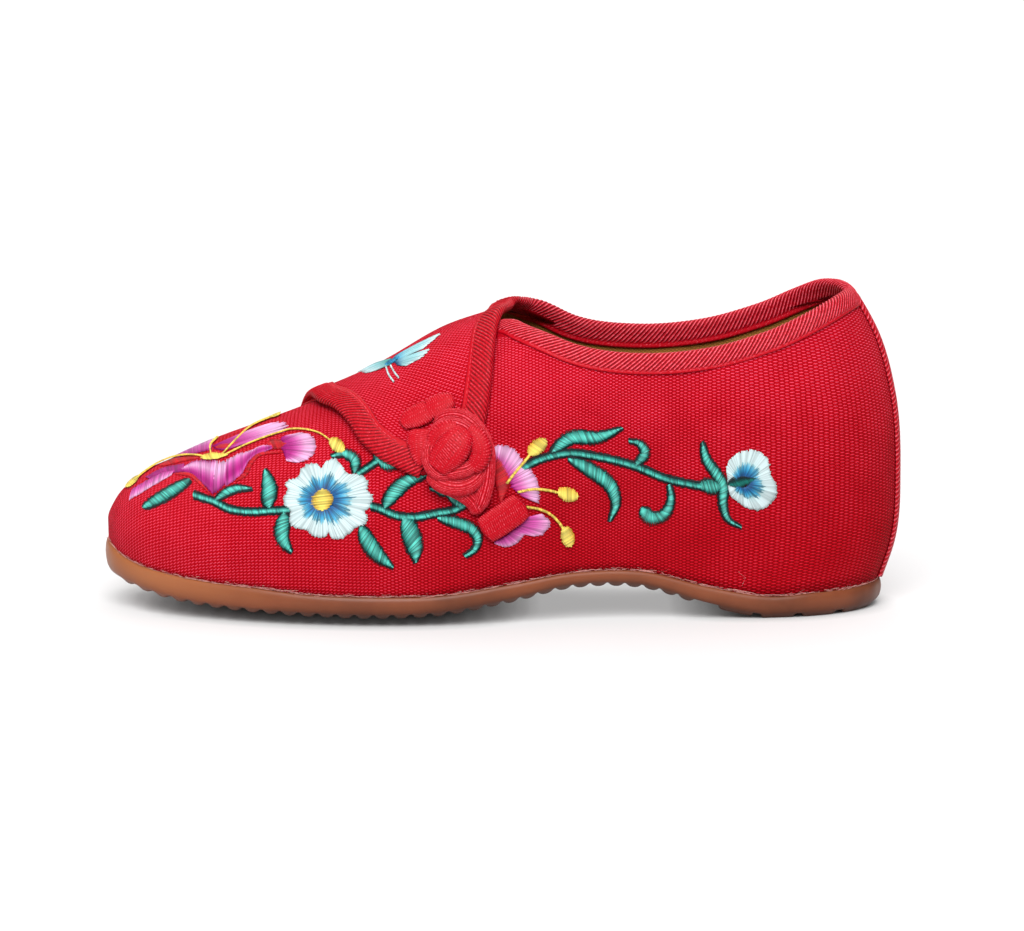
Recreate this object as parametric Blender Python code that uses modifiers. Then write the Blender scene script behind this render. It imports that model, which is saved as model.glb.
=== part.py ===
"""Left canvas flat: cloth upper, wrap-over flap, bound edges, knotted frog fastener and ribbed rubber sole.

The toe points to -X and the heel to +X, the outer side of the foot faces -Y, and the floor is Z = 0.
"""
import bmesh
import bpy
import numpy as np
from mathutils import Matrix

# Driving dimensions, in metres.
LENGTH = 0.238
BALL_WIDTH = 0.084
INSTEP_HEIGHT = 0.0928
CANVAS = 0.0018
TAPE = 0.0008
TAPE_WIDTH = 0.0062
SEAM_GAP = 0.0003
RIB_DEPTH = 0.0013
SOLE_LIP = 0.0008

# The last was drafted in millimetres on a 238 x 84 x 92.8 frame; these turn its columns into metres.
ALONG = LENGTH / 238.0
ACROSS = BALL_WIDTH / 84.0
UP = INSTEP_HEIGHT / 92.8
MIDDLE_ALONG = -0.14
MIDDLE_ACROSS = -4.2

# One row for each section of the last, from toe to heel. Feather is the line where upper meets sole.
# along, lateral and medial place the feather line, crest is the top of the section, lean moves the
# crest along the shoe, round is the section's squareness and swell is how far the wall bellies out.
LAST_COLUMNS = ("along", "lateral", "medial", "feather", "lean", "crest", "crest_across", "round", "swell")
LAST_ROWS = (
    (-121.8, 5.0, 5.0, 19.0, -1.1, 27.5, 5.0, 2.30, 0.0),
    (-120.2, -4.8, 14.8, 16.3, -1.0, 31.2, 5.0, 2.30, 0.6),
    (-116.5, -12.5, 22.5, 13.6, -1.0, 35.4, 4.9, 2.30, 1.0),
    (-110.5, -19.6, 29.4, 11.6, -0.5, 40.4, 4.9, 2.30, 1.4),
    (-102.0, -25.5, 34.2, 10.3, 0.0, 44.4, 4.8, 2.25, 1.8),
    (-90.0, -31.2, 37.8, 9.4, 0.0, 50.2, 4.6, 2.15, 2.1),
    (-75.0, -36.6, 40.3, 9.1, 0.0, 55.8, 4.4, 2.10, 2.4),
    (-58.0, -40.6, 41.5, 9.2, 0.0, 62.4, 4.2, 2.05, 2.5),
    (-38.0, -42.5, 41.0, 9.4, 0.0, 71.2, 4.0, 2.00, 2.5),
    (-18.0, -41.5, 37.5, 9.8, 0.0, 82.8, 4.6, 2.10, 2.5),
    (2.0, -38.0, 32.0, 12.5, 0.0, 92.8, 5.5, 2.50, 2.5),
    (22.0, -33.5, 27.2, 15.4, 0.0, 110.0, 3.0, 2.40, 2.6),
    (42.0, -30.5, 25.0, 15.2, 0.0, 132.0, 0.5, 2.40, 2.8),
    (62.0, -29.0, 25.2, 10.2, 0.0, 144.0, -0.3, 2.50, 3.2),
    (80.0, -27.6, 25.8, 7.0, 0.0, 146.0, -0.8, 2.50, 3.4),
    (94.0, -24.6, 23.8, 7.4, 0.0, 146.0, -0.6, 2.50, 3.2),
    (105.0, -18.6, 18.2, 7.6, 0.0, 146.0, -0.4, 2.50, 2.4),
    (112.0, -11.4, 11.2, 7.9, 0.0, 146.0, -0.2, 2.50, 1.4),
    (115.2, -5.0, 5.0, 8.1, 0.0, 146.0, 0.0, 2.50, 0.6),
    (116.2, 0.0, 0.0, 8.2, 0.0, 146.0, 0.0, 2.50, 0.0),
)
COLUMN_SCALES = (ALONG, ACROSS, ACROSS, UP, ALONG, UP, ACROSS, 1.0, ACROSS)
SWELL_POWER = 0.9
STATION_COUNT = len(LAST_ROWS)
HEEL_STATION = STATION_COUNT - 1

# How far the back of the heel stands out behind its feather line: height, out.
HEEL_BACK = ((8, 0.0), (20, 3.9), (42, 5.3), (66, 3.4), (84, -1.8), (100, -10.8))
HEEL_START = 56.0 * ALONG
HEEL_REACH = 60.0 * ALONG
HEEL_FADE = 1.6

# Bottom of the shoe at the same sections: height of the ribs at the sole's edge, how much lower
# they hang in the middle, and the height of the footbed inside.
BOTTOM_COLUMNS = ("edge", "crown", "footbed")
BOTTOM_ROWS = (
    (10.0, 0.0, 21.5),
    (9.4, 0.6, 18.8),
    (8.5, 1.5, 16.2),
    (7.0, 2.3, 14.2),
    (5.4, 2.8, 12.9),
    (4.2, 3.2, 12.2),
    (3.4, 3.4, 12.0),
    (2.9, 2.9, 12.1),
    (2.6, 2.6, 12.6),
    (3.4, 3.2, 14.4),
    (6.6, 2.2, 18.8),
    (10.4, 1.0, 24.6),
    (9.8, 0.5, 30.0),
    (3.9, 0.2, 34.0),
    (0.0, 0.0, 36.5),
    (0.0, 0.0, 37.4),
    (0.0, 0.0, 37.8),
    (0.2, 0.2, 38.0),
    (0.6, 0.2, 38.0),
    (0.9, 0.0, 38.0),
)

# Ribs and heel lugs under the sole, in drafted millimetres: first, count, pitch, land, flank.
TREAD_ZONES = (
    (-117.8, 19, 5.70, 2.6, 0.8),
    (-9.5, 13, 5.30, 2.4, 0.8),
    (65.0, 4, 12.90, 10.2, 0.7),
)
TOE_STATIONS = (0.0, 0.25, 0.6, 0.95, 1.25)
BREAST_ALONG = 60.8
HEEL_STATIONS = (18.2, 18.6, 19.0)
LAND_STEP = 3.5
RIB_INSET = 0.0006
LIP_DEPTH = 0.35
# Points across the underside: share of the width, and share of the crown reached there.
UNDERSIDE = ((0.15, 0.55), (0.32, 1.0), (0.68, 1.0), (0.85, 0.55))

# Throat slit under the flap: station, then the turn of its outer and inner edges.
SLIT_ROWS = (
    (6.0, 0.165, 0.165),
    (6.75, 0.040, 0.206),
    (7.25, -0.080, 0.1926),
    (8.0, -0.140, 0.1726),
    (9.0, -0.190, 0.1458),
    (10.0, -0.2100, 0.1190),
)
THROAT_TAPE_START = 6.5
# Collar edge behind the slit: station, then the height of its outer and inner sides.
COLLAR_ROWS = (
    (10.0, 89.4, 91.7),
    (10.5, 86.4, 90.0),
    (11.0, 82.9, 85.7),
    (12.0, 80.4, 82.8),
    (13.0, 82.0, 84.2),
    (14.0, 86.7, 88.8),
    (15.0, 91.6, 93.9),
    (16.0, 95.2, 97.0),
    (17.0, 96.6, 97.2),
    (18.0, 96.5, 96.8),
    (19.0, 96.4, 96.4),
)

# Flap from its sewn base to its tip: where its front and rear edges lie on the last, and how far
# its face stands off it. It sags into the open throat at the hump.
FLAP_COLUMNS = ("front_station", "front_turn", "rear_station", "rear_turn", "lift")
FLAP_ROWS = (
    (6.75, 0.194, 10.15, 0.103, 0.0),
    (6.90, 0.100, 10.06, 0.050, 2.4),
    (7.02, 0.000, 9.98, 0.000, 3.0),
    (7.16, -0.135, 9.90, -0.135, 3.1),
    (7.42, -0.250, 9.80, -0.245, 3.3),
    (7.64, -0.360, 9.74, -0.365, 3.2),
    (7.82, -0.460, 9.68, -0.475, 2.8),
    (8.07, -0.540, 9.60, -0.570, 2.3),
    (8.36, -0.600, 9.46, -0.625, 2.1),
    (8.70, -0.660, 9.05, -0.675, 2.1),
)
FLAP_TIP = len(FLAP_ROWS) - 1
FRONT_TAPE_ROWS = np.linspace(8.0, 1.0, 15)
REAR_TAPE_ROWS = np.linspace(2.0, 6.5, 10)
FLAP_SHARES = np.linspace(0.0, 1.0, 8)
HUMP_SAG = 1.15
SAG_START = 8.7
SAG_REACH = 1.3
SAG_TURN = 0.175

# Strip over the back seam: heights from top to bottom, then station and side from outer to inner.
STAY_HEIGHTS = np.linspace(89.0, 9.5, 11)
STAY_COLUMNS = ((18.1, -1), (18.55, -1), (19.0, -1), (18.55, 1), (18.1, 1))

# Strips of folded tape in the frog: place on their surface and half width.
TAB_UPPER = ((6.42, 0.33, 2.8), (6.33, 0.42, 3.9), (6.28, 0.55, 4.2), (6.26, 0.66, 3.9), (6.26, 0.73, 2.8))
TAB_LOWER = ((7.12, 0.36, 2.4), (7.30, 0.42, 3.0), (7.55, 0.48, 3.0))
FROG_PAD = ((9.39, -0.800, 4.8), (9.62, -0.828, 5.8), (9.85, -0.872, 5.8), (10.03, -0.903, 5.6))
FROG_LOOP = (
    (9.42, -0.566, 1.6),
    (9.60, -0.624, 1.9),
    (9.72, -0.690, 2.0),
    (9.69, -0.744, 2.0),
    (9.52, -0.772, 2.0),
    (9.23, -0.764, 2.0),
    (8.94, -0.724, 1.9),
    (8.77, -0.680, 1.6),
)
STRIP_SHARES = (-1.0, -0.55, 0.0, 0.55, 1.0)
FROG_THICKNESS = 0.0020
FROG_SEAT = 0.0026
KNOT_PLACE = (9.24, -0.662)
KNOT_SIZE = (0.0088, 0.0072, 0.0056)

COLLECTION = "canvas_flat"
SHARP_ANGLE = np.radians(50.0)
SIDE_STEPS = 11
MERGE = 1e-5
STEP = 1e-3
HUMP_STATIONS = (10.25, 10.75, 11.25)
STATIONS = np.union1d(np.linspace(0.0, HEEL_STATION, 2 * HEEL_STATION + 1), HUMP_STATIONS)


def hermite(knots, rows, slopes, at):
    """Smooth curve through the rows of a table, going straight on past its ends."""
    at = np.asarray(at, float)
    index = np.clip(np.searchsorted(knots, at, side="right") - 1, 0, len(knots) - 2)
    span = knots[index + 1] - knots[index]
    share = np.clip((at - knots[index]) / span, 0.0, 1.0)
    before = np.minimum(at - knots[0], 0.0)
    after = np.maximum(at - knots[-1], 0.0)
    if rows.ndim == 2:
        span, share, before, after = (value[..., None] for value in (span, share, before, after))
    rest = 1.0 - share
    start = (1.0 + 2.0 * share) * rest**2 * rows[index] + share * rest**2 * span * slopes[index]
    end = share**2 * (3.0 - 2.0 * share) * rows[index + 1] - share**2 * rest * span * slopes[index + 1]
    return start + end + before * slopes[0] + after * slopes[-1]


def smooth(knots, rows, at):
    """Read a table at any place along its knots."""
    knots = np.asarray(knots, float)
    rows = np.asarray(rows, float)
    return hermite(knots, rows, np.gradient(rows, knots, axis=0), at)


def last_tables():
    """The last in metres, with slopes that let both sides run into each other at toe and heel."""
    rows = np.array(LAST_ROWS) * COLUMN_SCALES
    slopes = np.gradient(rows, axis=0)
    sides = (LAST_COLUMNS.index("lateral"), LAST_COLUMNS.index("medial"))
    level = [column for column in range(len(LAST_COLUMNS)) if column not in sides]
    slopes[0, level] = 0.0
    slopes[-1, level] = 0.0
    return rows, slopes


LAST, LAST_SLOPES = last_tables()
SECTION_KNOTS = np.arange(STATION_COUNT, dtype=float)


def section(station):
    """The last's columns at a station, by name."""
    station = np.clip(station, 0.0, HEEL_STATION)
    values = hermite(SECTION_KNOTS, LAST, LAST_SLOPES, station)
    return {name: values[..., column] for column, name in enumerate(LAST_COLUMNS)}


def bottom(station):
    """Heights of rib edge, crown and footbed at a station, by name."""
    values = smooth(SECTION_KNOTS, np.array(BOTTOM_ROWS) * UP, station)
    return {name: values[..., column] for column, name in enumerate(BOTTOM_COLUMNS)}


def heel_curve(along, height):
    """How far the back of the heel stands out at a height, fading away ahead of the heel."""
    table = np.array(HEEL_BACK)
    knots = table[:, 0] * UP
    fade = np.clip((along - HEEL_START) / HEEL_REACH, 0.0, 1.0) ** HEEL_FADE
    return fade * smooth(knots, table[:, 1] * ALONG, np.clip(height, knots[0], knots[-1]))


def last(station, turn):
    """Point on the outside of the upper.

    The turn runs from -1 at the outer feather line over the crest at 0 to 1 at the inner feather line.
    """
    station, turn = np.broadcast_arrays(np.asarray(station, float), np.asarray(turn, float))
    part = section(station)
    angle = (1.0 - np.abs(np.clip(turn, -1.0, 1.0))) * np.pi / 2.0
    reach = np.maximum(np.cos(angle), 0.0) ** (2.0 / part["round"])
    rise = np.maximum(np.sin(angle), 0.0) ** (2.0 / part["round"])
    edge = np.where(turn < 0.0, part["lateral"], part["medial"])
    swell = np.sign(turn) * part["swell"] * np.sin(np.pi * np.clip(rise, 0.0, 1.0) ** SWELL_POWER)
    across = part["crest_across"] + (edge - part["crest_across"]) * reach + swell
    height = part["feather"] + (part["crest"] - part["feather"]) * rise
    along = part["along"] + part["lean"] * rise + heel_curve(part["along"], height)
    return np.stack([along - MIDDLE_ALONG * ALONG, across - MIDDLE_ACROSS * ACROSS, height], axis=-1)


def turn_at_height(station, side, height):
    """Turn where the outer (-1) or inner (1) side of the last reaches a height."""
    part = section(station)
    rise = (height - part["feather"]) / (part["crest"] - part["feather"])
    angle = np.arcsin(np.clip(rise, 0.0, 1.0) ** (part["round"] / 2.0))
    return side * (1.0 - angle / (np.pi / 2.0))


def tangents(surface, first, second):
    """Directions in which a point moves as each of a surface's two coordinates grows."""
    along = surface(first + STEP, second) - surface(first - STEP, second)
    across = surface(first, second + STEP) - surface(first, second - STEP)
    return along / (2.0 * STEP), across / (2.0 * STEP)


def unit(vectors):
    return vectors / np.linalg.norm(vectors, axis=-1, keepdims=True)


def facing(surface, first, second):
    """Outward normal of a surface."""
    along, across = tangents(surface, first, second)
    return unit(np.cross(along, across))


def walk(surface, first, second, direction, distance, paces=4):
    """Coordinates reached by moving a distance over a surface in a direction in space, never past the heel."""
    first = np.array(first, float)
    second = np.array(second, float)
    for _ in range(paces):
        along, across = tangents(surface, first, second)
        aa = np.sum(along * along, axis=-1)
        ab = np.sum(along * across, axis=-1)
        bb = np.sum(across * across, axis=-1)
        toward_a = np.sum(along * direction, axis=-1)
        toward_b = np.sum(across * direction, axis=-1)
        scale = distance / paces / (aa * bb - ab * ab)
        first = np.minimum(first + (bb * toward_a - ab * toward_b) * scale, HEEL_STATION)
        second = second + (aa * toward_b - ab * toward_a) * scale
    return first, second


def flap_face(row, share):
    """Point on the outside of the flap: row counts from base to tip, share runs from front to rear."""
    row, share = np.broadcast_arrays(np.asarray(row, float), np.asarray(share, float))
    knots = np.arange(len(FLAP_ROWS), dtype=float)
    values = smooth(knots, np.array(FLAP_ROWS), row)
    part = {name: values[..., column] for column, name in enumerate(FLAP_COLUMNS)}
    station = part["front_station"] + share * (part["rear_station"] - part["front_station"])
    turn = part["front_turn"] + share * (part["rear_turn"] - part["front_turn"])
    near_hump = np.clip((station - SAG_START) / SAG_REACH, 0.0, 1.0) ** 2
    over_throat = np.cos(np.clip(np.abs(turn) / SAG_TURN, 0.0, 1.0) * np.pi / 2.0) ** 2
    lift = part["lift"] * UP * (1.0 - HUMP_SAG * near_hump * over_throat)
    return last(station, turn) + facing(last, station, turn) * lift[..., None]


def opening_edge(station, side):
    """Turn of the upper's top edge: the closed crest, the throat slit, then the collar."""
    column = 1 if side < 0 else 2
    slit = np.array(SLIT_ROWS)
    collar = np.array(COLLAR_ROWS)
    crest_line = slit[0, column] * station / slit[0, 0]
    slit_line = np.interp(station, slit[:, 0], slit[:, column])
    height = smooth(collar[:, 0], collar[:, column] * UP, np.maximum(station, collar[0, 0]))
    collar_line = turn_at_height(station, side, height)
    behind = np.where(station <= slit[-1, 0], slit_line, collar_line)
    return np.where(station < slit[0, 0], crest_line, behind)


def sheet_mesh(name, grids, closed=False):
    """Mesh of one or more grids of points, merged where their borders meet."""
    mesh = bpy.data.meshes.new(name)
    form = bmesh.new()
    for grid in grids:
        rows = [[form.verts.new(point) for point in row] for row in grid]
        for near, far in zip(rows, rows[1:]):
            for corners in zip(near, far, far[1:], near[1:]):
                form.faces.new(corners)
    bmesh.ops.remove_doubles(form, verts=form.verts, dist=MERGE)
    spare = [vert for vert in form.verts if len(vert.link_edges) == 2 and not vert.is_boundary]
    bmesh.ops.dissolve_verts(form, verts=spare)
    if closed:
        bmesh.ops.recalc_face_normals(form, faces=form.faces)
    form.to_mesh(mesh)
    form.free()
    return mesh


def add_part(name, mesh, material):
    """Put a mesh in the shoe's collection under its own name."""
    part = bpy.data.objects.new(name, mesh)
    bpy.data.collections[COLLECTION].objects.link(part)
    mesh.materials.append(material)
    mesh.shade_smooth()
    mesh.set_sharp_from_angle(angle=SHARP_ANGLE)
    return part


def thicken(part, thickness, outward):
    """Give an open sheet its real thickness, to one side of the modelled face."""
    shell = part.modifiers.new("thickness", "SOLIDIFY")
    shell.thickness = thickness
    shell.offset = 1.0 if outward else -1.0
    shell.use_even_offset = True


def edge_strip(surface, first, second, profile):
    """Grid of tape points along an edge of a surface.

    Seen from outside, the cloth lies to the right of the way along the edge. The profile gives each
    point's lift off the surface and its depth from the edge into the cloth.
    """
    base = surface(first, second)
    way = unit(np.gradient(base, axis=0))
    normal = facing(surface, first, second)
    inward = unit(np.cross(way, normal))
    columns = []
    for lift, depth in profile:
        if depth > 0.0:
            there = walk(surface, first, second, inward, depth)
            column = surface(*there) + facing(surface, *there) * lift
        else:
            column = base + inward * depth + normal * lift
        columns.append(column)
    return np.stack(columns, axis=1)


def strap_grid(surface, rows, lift):
    """Grid of a strip of tape laid on a surface along its middle line."""
    table = np.array(rows)
    places = smooth(np.arange(len(table)), table, np.linspace(0.0, len(table) - 1.0, 2 * len(table) - 1))
    first = places[:, 0]
    second = places[:, 1]
    half = places[:, 2] * ALONG
    way = unit(np.gradient(surface(first, second), axis=0))
    side = unit(np.cross(facing(surface, first, second), way))
    columns = []
    for share in STRIP_SHARES:
        there = walk(surface, first, second, side, share * half)
        columns.append(surface(*there) + facing(surface, *there) * lift)
    return np.stack(columns, axis=1)


def make_upper(material):
    """Hollow canvas upper, open at the throat and collar and underneath."""
    shares = np.linspace(0.0, 1.0, SIDE_STEPS + 1)
    station = STATIONS[:, None]
    outer_edge = opening_edge(station, -1)
    inner_edge = opening_edge(station, 1)
    outer = last(station, -1.0 + shares * (outer_edge + 1.0))
    inner = last(station, inner_edge + shares * (1.0 - inner_edge))
    upper = add_part("upper", sheet_mesh("upper", [outer, inner]), material)
    thicken(upper, CANVAS, outward=False)


def make_flap(material):
    """Flap that wraps over the instep from the inner side to the outer side."""
    rows = np.linspace(0.0, FLAP_TIP, 2 * FLAP_TIP + 1)[:, None]
    face = flap_face(rows, FLAP_SHARES)
    flap = add_part("flap", sheet_mesh("flap", [face]), material)
    thicken(flap, CANVAS, outward=False)


def make_collar_binding(material):
    """Tape folded over the edge of the throat and the collar."""
    forward = STATIONS[STATIONS >= THROAT_TAPE_START]
    backward = STATIONS[(STATIONS >= HUMP_STATIONS[0]) & (STATIONS < HEEL_STATION)][::-1]
    stations = np.concatenate([forward, backward])
    turns = np.concatenate([opening_edge(forward, -1), opening_edge(backward, 1)])
    inside = -CANVAS - 3.0 * SEAM_GAP
    above = -1.5 * SEAM_GAP
    profile = (
        (SEAM_GAP, TAPE_WIDTH),
        (SEAM_GAP, TAPE_WIDTH / 2.0),
        (SEAM_GAP, above),
        (inside, above),
        (inside, TAPE_WIDTH * 0.8),
    )
    grid = edge_strip(last, stations, turns, profile)
    binding = add_part("collar_binding", sheet_mesh("collar_binding", [grid]), material)
    thicken(binding, TAPE, outward=True)


def make_flap_binding(name, rows, share, material):
    """Tape over one edge of the flap, on its face and round its rim."""
    profile = (
        (SEAM_GAP, TAPE_WIDTH),
        (SEAM_GAP, TAPE_WIDTH / 2.0),
        (SEAM_GAP, -SEAM_GAP),
        (-CANVAS, -SEAM_GAP),
    )
    grid = edge_strip(flap_face, rows, np.full(len(rows), share), profile)
    binding = add_part(name, sheet_mesh(name, [grid]), material)
    thicken(binding, TAPE, outward=True)


def make_back_stay(material):
    """Strip over the back seam, from under the collar tape down to the sole."""
    columns = []
    for station, side in STAY_COLUMNS:
        turn = turn_at_height(station, side, STAY_HEIGHTS * UP)
        place = np.full(len(turn), station)
        columns.append(last(place, turn) + facing(last, place, turn) * SEAM_GAP)
    stay = add_part("back_stay", sheet_mesh("back_stay", [np.stack(columns, axis=1)]), material)
    thicken(stay, TAPE, outward=True)


def make_frog(material):
    """Knotted button with its tape tabs on the flap and its loop sewn to the side."""
    strips = (
        ("frog_tab_upper", flap_face, TAB_UPPER, SEAM_GAP),
        ("frog_tab_lower", flap_face, TAB_LOWER, SEAM_GAP),
        ("frog_loop", last, FROG_LOOP, FROG_SEAT),
        ("frog_pad", last, FROG_PAD, SEAM_GAP),
    )
    for name, surface, rows, lift in strips:
        strip = add_part(name, sheet_mesh(name, [strap_grid(surface, rows, lift)]), material)
        thicken(strip, FROG_THICKNESS, outward=True)

    place = [np.array(value) for value in KNOT_PLACE]
    normal = facing(last, *place)
    way = unit(tangents(last, *place)[0])
    centre = last(*place) + normal * (FROG_SEAT + KNOT_SIZE[2])
    axes = np.stack([way, np.cross(normal, way), normal], axis=1) * np.array(KNOT_SIZE)
    frame = Matrix.Translation(centre) @ Matrix(axes.tolist()).to_4x4()
    mesh = bpy.data.meshes.new("frog_knot")
    form = bmesh.new()
    bmesh.ops.create_uvsphere(form, u_segments=16, v_segments=10, radius=1.0, matrix=frame)
    form.to_mesh(mesh)
    form.free()
    add_part("frog_knot", mesh, material)


def outline(station, side, offset):
    """Point of the sole's outline in plan, moved outward by an offset."""
    def plan(place):
        part = section(place)
        edge = part["lateral"] if side < 0 else part["medial"]
        return np.stack([part["along"] - MIDDLE_ALONG * ALONG, edge - MIDDLE_ACROSS * ACROSS], axis=-1)

    way = unit(plan(np.minimum(station + STEP, HEEL_STATION)) - plan(np.maximum(station - STEP, 0.0)))
    out = np.stack([way[..., 1], -way[..., 0]], axis=-1) * -side
    return plan(station) + out * offset


def tread_columns():
    """Stations along the sole where a rib starts or ends, with 1 on a rib and 0 in a groove."""
    fine = np.linspace(0.0, HEEL_STATION, 1200)
    columns = [(station, 0) for station in TOE_STATIONS]
    marks = [(BREAST_ALONG, 0)]
    for first, count, pitch, land, flank in TREAD_ZONES:
        for rib in range(count):
            start = first + rib * pitch
            steps = int(np.ceil(land / LAND_STEP))
            marks += [(start - flank, 0), (start + land + flank, 0)]
            marks += [(start + land * step / steps, 1) for step in range(steps + 1)]
    for along, level in sorted(marks):
        columns.append((np.interp(along * ALONG, section(fine)["along"], fine), level))
    columns += [(station, 0) for station in HEEL_STATIONS]
    return np.array(columns).T


def with_height(plan, height):
    return np.concatenate([plan, np.broadcast_to(height, plan.shape[:-1])[..., None]], axis=-1)


def make_outsole(material):
    """Rubber sole with its side wall, ribs, arch and heel lugs."""
    stations, ribbed = tread_columns()
    levels = bottom(stations)
    top = section(stations)["feather"] - SEAM_GAP
    edge = np.maximum(levels["edge"], 0.0)
    low = edge + RIB_DEPTH
    foot = np.where(ribbed > 0, edge, low)
    sides = {}
    for side in (-1, 1):
        sides[side] = [
            with_height(outline(stations, side, 0.0), top),
            with_height(outline(stations, side, SOLE_LIP), top - LIP_DEPTH * (top - low)),
            with_height(outline(stations, side, SOLE_LIP / 2.0), low),
            with_height(outline(stations, side, -RIB_INSET), foot),
        ]
    outer_foot = sides[-1][-1]
    inner_foot = sides[1][-1]
    underside = []
    for share, crown in UNDERSIDE:
        point = outer_foot + share * (inner_foot - outer_foot)
        point[:, 2] = np.maximum(point[:, 2] - levels["crown"] * crown, np.where(ribbed > 0, 0.0, RIB_DEPTH))
        underside.append(point)
    ring = sides[-1] + underside + sides[1][::-1] + sides[-1][:1]
    grid = np.stack(ring, axis=1)
    add_part("outsole", sheet_mesh("outsole", [grid], closed=True), material)


def make_insole(material):
    """Footbed that rises to the heel inside the upper."""
    inset = CANVAS + 2.5 * SEAM_GAP
    floor = section(STATIONS)["feather"]
    top = bottom(STATIONS)["footbed"]

    def wall(side, height):
        turn = turn_at_height(STATIONS, side, height)
        point = last(STATIONS, turn) - facing(last, STATIONS, turn) * inset
        point[:, 2] = height
        return point

    levels = (floor, (floor + top) / 2.0, top)
    outer = [wall(-1, level) for level in levels]
    inner = [wall(1, level) for level in levels]
    ring = outer + inner[::-1] + outer[:1]
    add_part("insole", sheet_mesh("insole", [np.stack(ring, axis=1)], closed=True), material)


def make_material(name, colour, roughness):
    material = bpy.data.materials.new(name)
    material.use_nodes = True
    shader = material.node_tree.nodes["Principled BSDF"]
    shader.inputs["Base Color"].default_value = (*colour, 1.0)
    shader.inputs["Roughness"].default_value = roughness
    shader.inputs["Metallic"].default_value = 0.0
    return material


def main():
    for old in list(bpy.data.objects):
        bpy.data.objects.remove(old, do_unlink=True)
    collection = bpy.data.collections.new(COLLECTION)
    bpy.context.scene.collection.children.link(collection)

    canvas = make_material("red_canvas", (0.56, 0.012, 0.030), 0.85)
    tape = make_material("red_tape", (0.50, 0.010, 0.026), 0.70)
    rubber = make_material("gum_rubber", (0.36, 0.115, 0.040), 0.50)
    lining = make_material("tan_lining", (0.30, 0.17, 0.05), 0.90)

    make_outsole(rubber)
    make_insole(lining)
    make_upper(canvas)
    make_flap(canvas)
    make_collar_binding(tape)
    make_flap_binding("flap_front_binding", FRONT_TAPE_ROWS, 0.0, tape)
    make_flap_binding("flap_rear_binding", REAR_TAPE_ROWS, 1.0, tape)
    make_back_stay(tape)
    make_frog(tape)


main()
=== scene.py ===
"""Looks of the left canvas flat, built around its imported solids.

Lengths are in metres unless a comment says millimetres. The toe points to -X, and the outer side of the foot
faces -Y. Motifs are placed by pixels of the 1024 x 931 picture frame, and each pixel is set on the shoe's own
surface.
"""

import bmesh
import bpy
import numpy as np
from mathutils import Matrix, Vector


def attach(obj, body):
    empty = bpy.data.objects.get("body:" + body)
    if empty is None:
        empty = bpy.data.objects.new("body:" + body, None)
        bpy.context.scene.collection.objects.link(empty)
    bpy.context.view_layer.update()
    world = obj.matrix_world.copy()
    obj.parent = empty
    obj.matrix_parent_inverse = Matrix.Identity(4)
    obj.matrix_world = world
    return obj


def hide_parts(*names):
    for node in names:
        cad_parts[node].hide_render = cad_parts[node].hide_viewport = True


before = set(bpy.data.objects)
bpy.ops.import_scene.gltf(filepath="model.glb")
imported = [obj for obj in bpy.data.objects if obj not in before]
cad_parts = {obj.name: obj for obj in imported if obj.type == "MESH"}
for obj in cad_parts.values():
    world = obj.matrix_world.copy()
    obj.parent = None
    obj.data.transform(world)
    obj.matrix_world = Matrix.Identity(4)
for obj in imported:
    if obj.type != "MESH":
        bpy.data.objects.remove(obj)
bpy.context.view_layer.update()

MM = 0.001
STEP = 1e-3
NO_LENGTH = 1e-12
FINE_STATIONS = 2400
RANDOM = np.random.default_rng(37)

# Camera
IMAGE_WIDTH = 1024
IMAGE_HEIGHT = 931
VIEW_ELEVATION = np.radians(9.0)
VIEW_DISTANCE = 1.3
VIEW_CENTRE = np.array((0.00277, 0.00355, 0.04288))
SENSOR_MM = 36.0
LENS_MM = 147.9
FOCAL_PIXELS = LENS_MM / SENSOR_MM * IMAGE_WIDTH
PIXEL = VIEW_DISTANCE / FOCAL_PIXELS
VIEW_FORWARD = np.array((0.0, np.cos(VIEW_ELEVATION), -np.sin(VIEW_ELEVATION)))
VIEW_UPWARD = np.array((0.0, np.sin(VIEW_ELEVATION), np.cos(VIEW_ELEVATION)))

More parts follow.
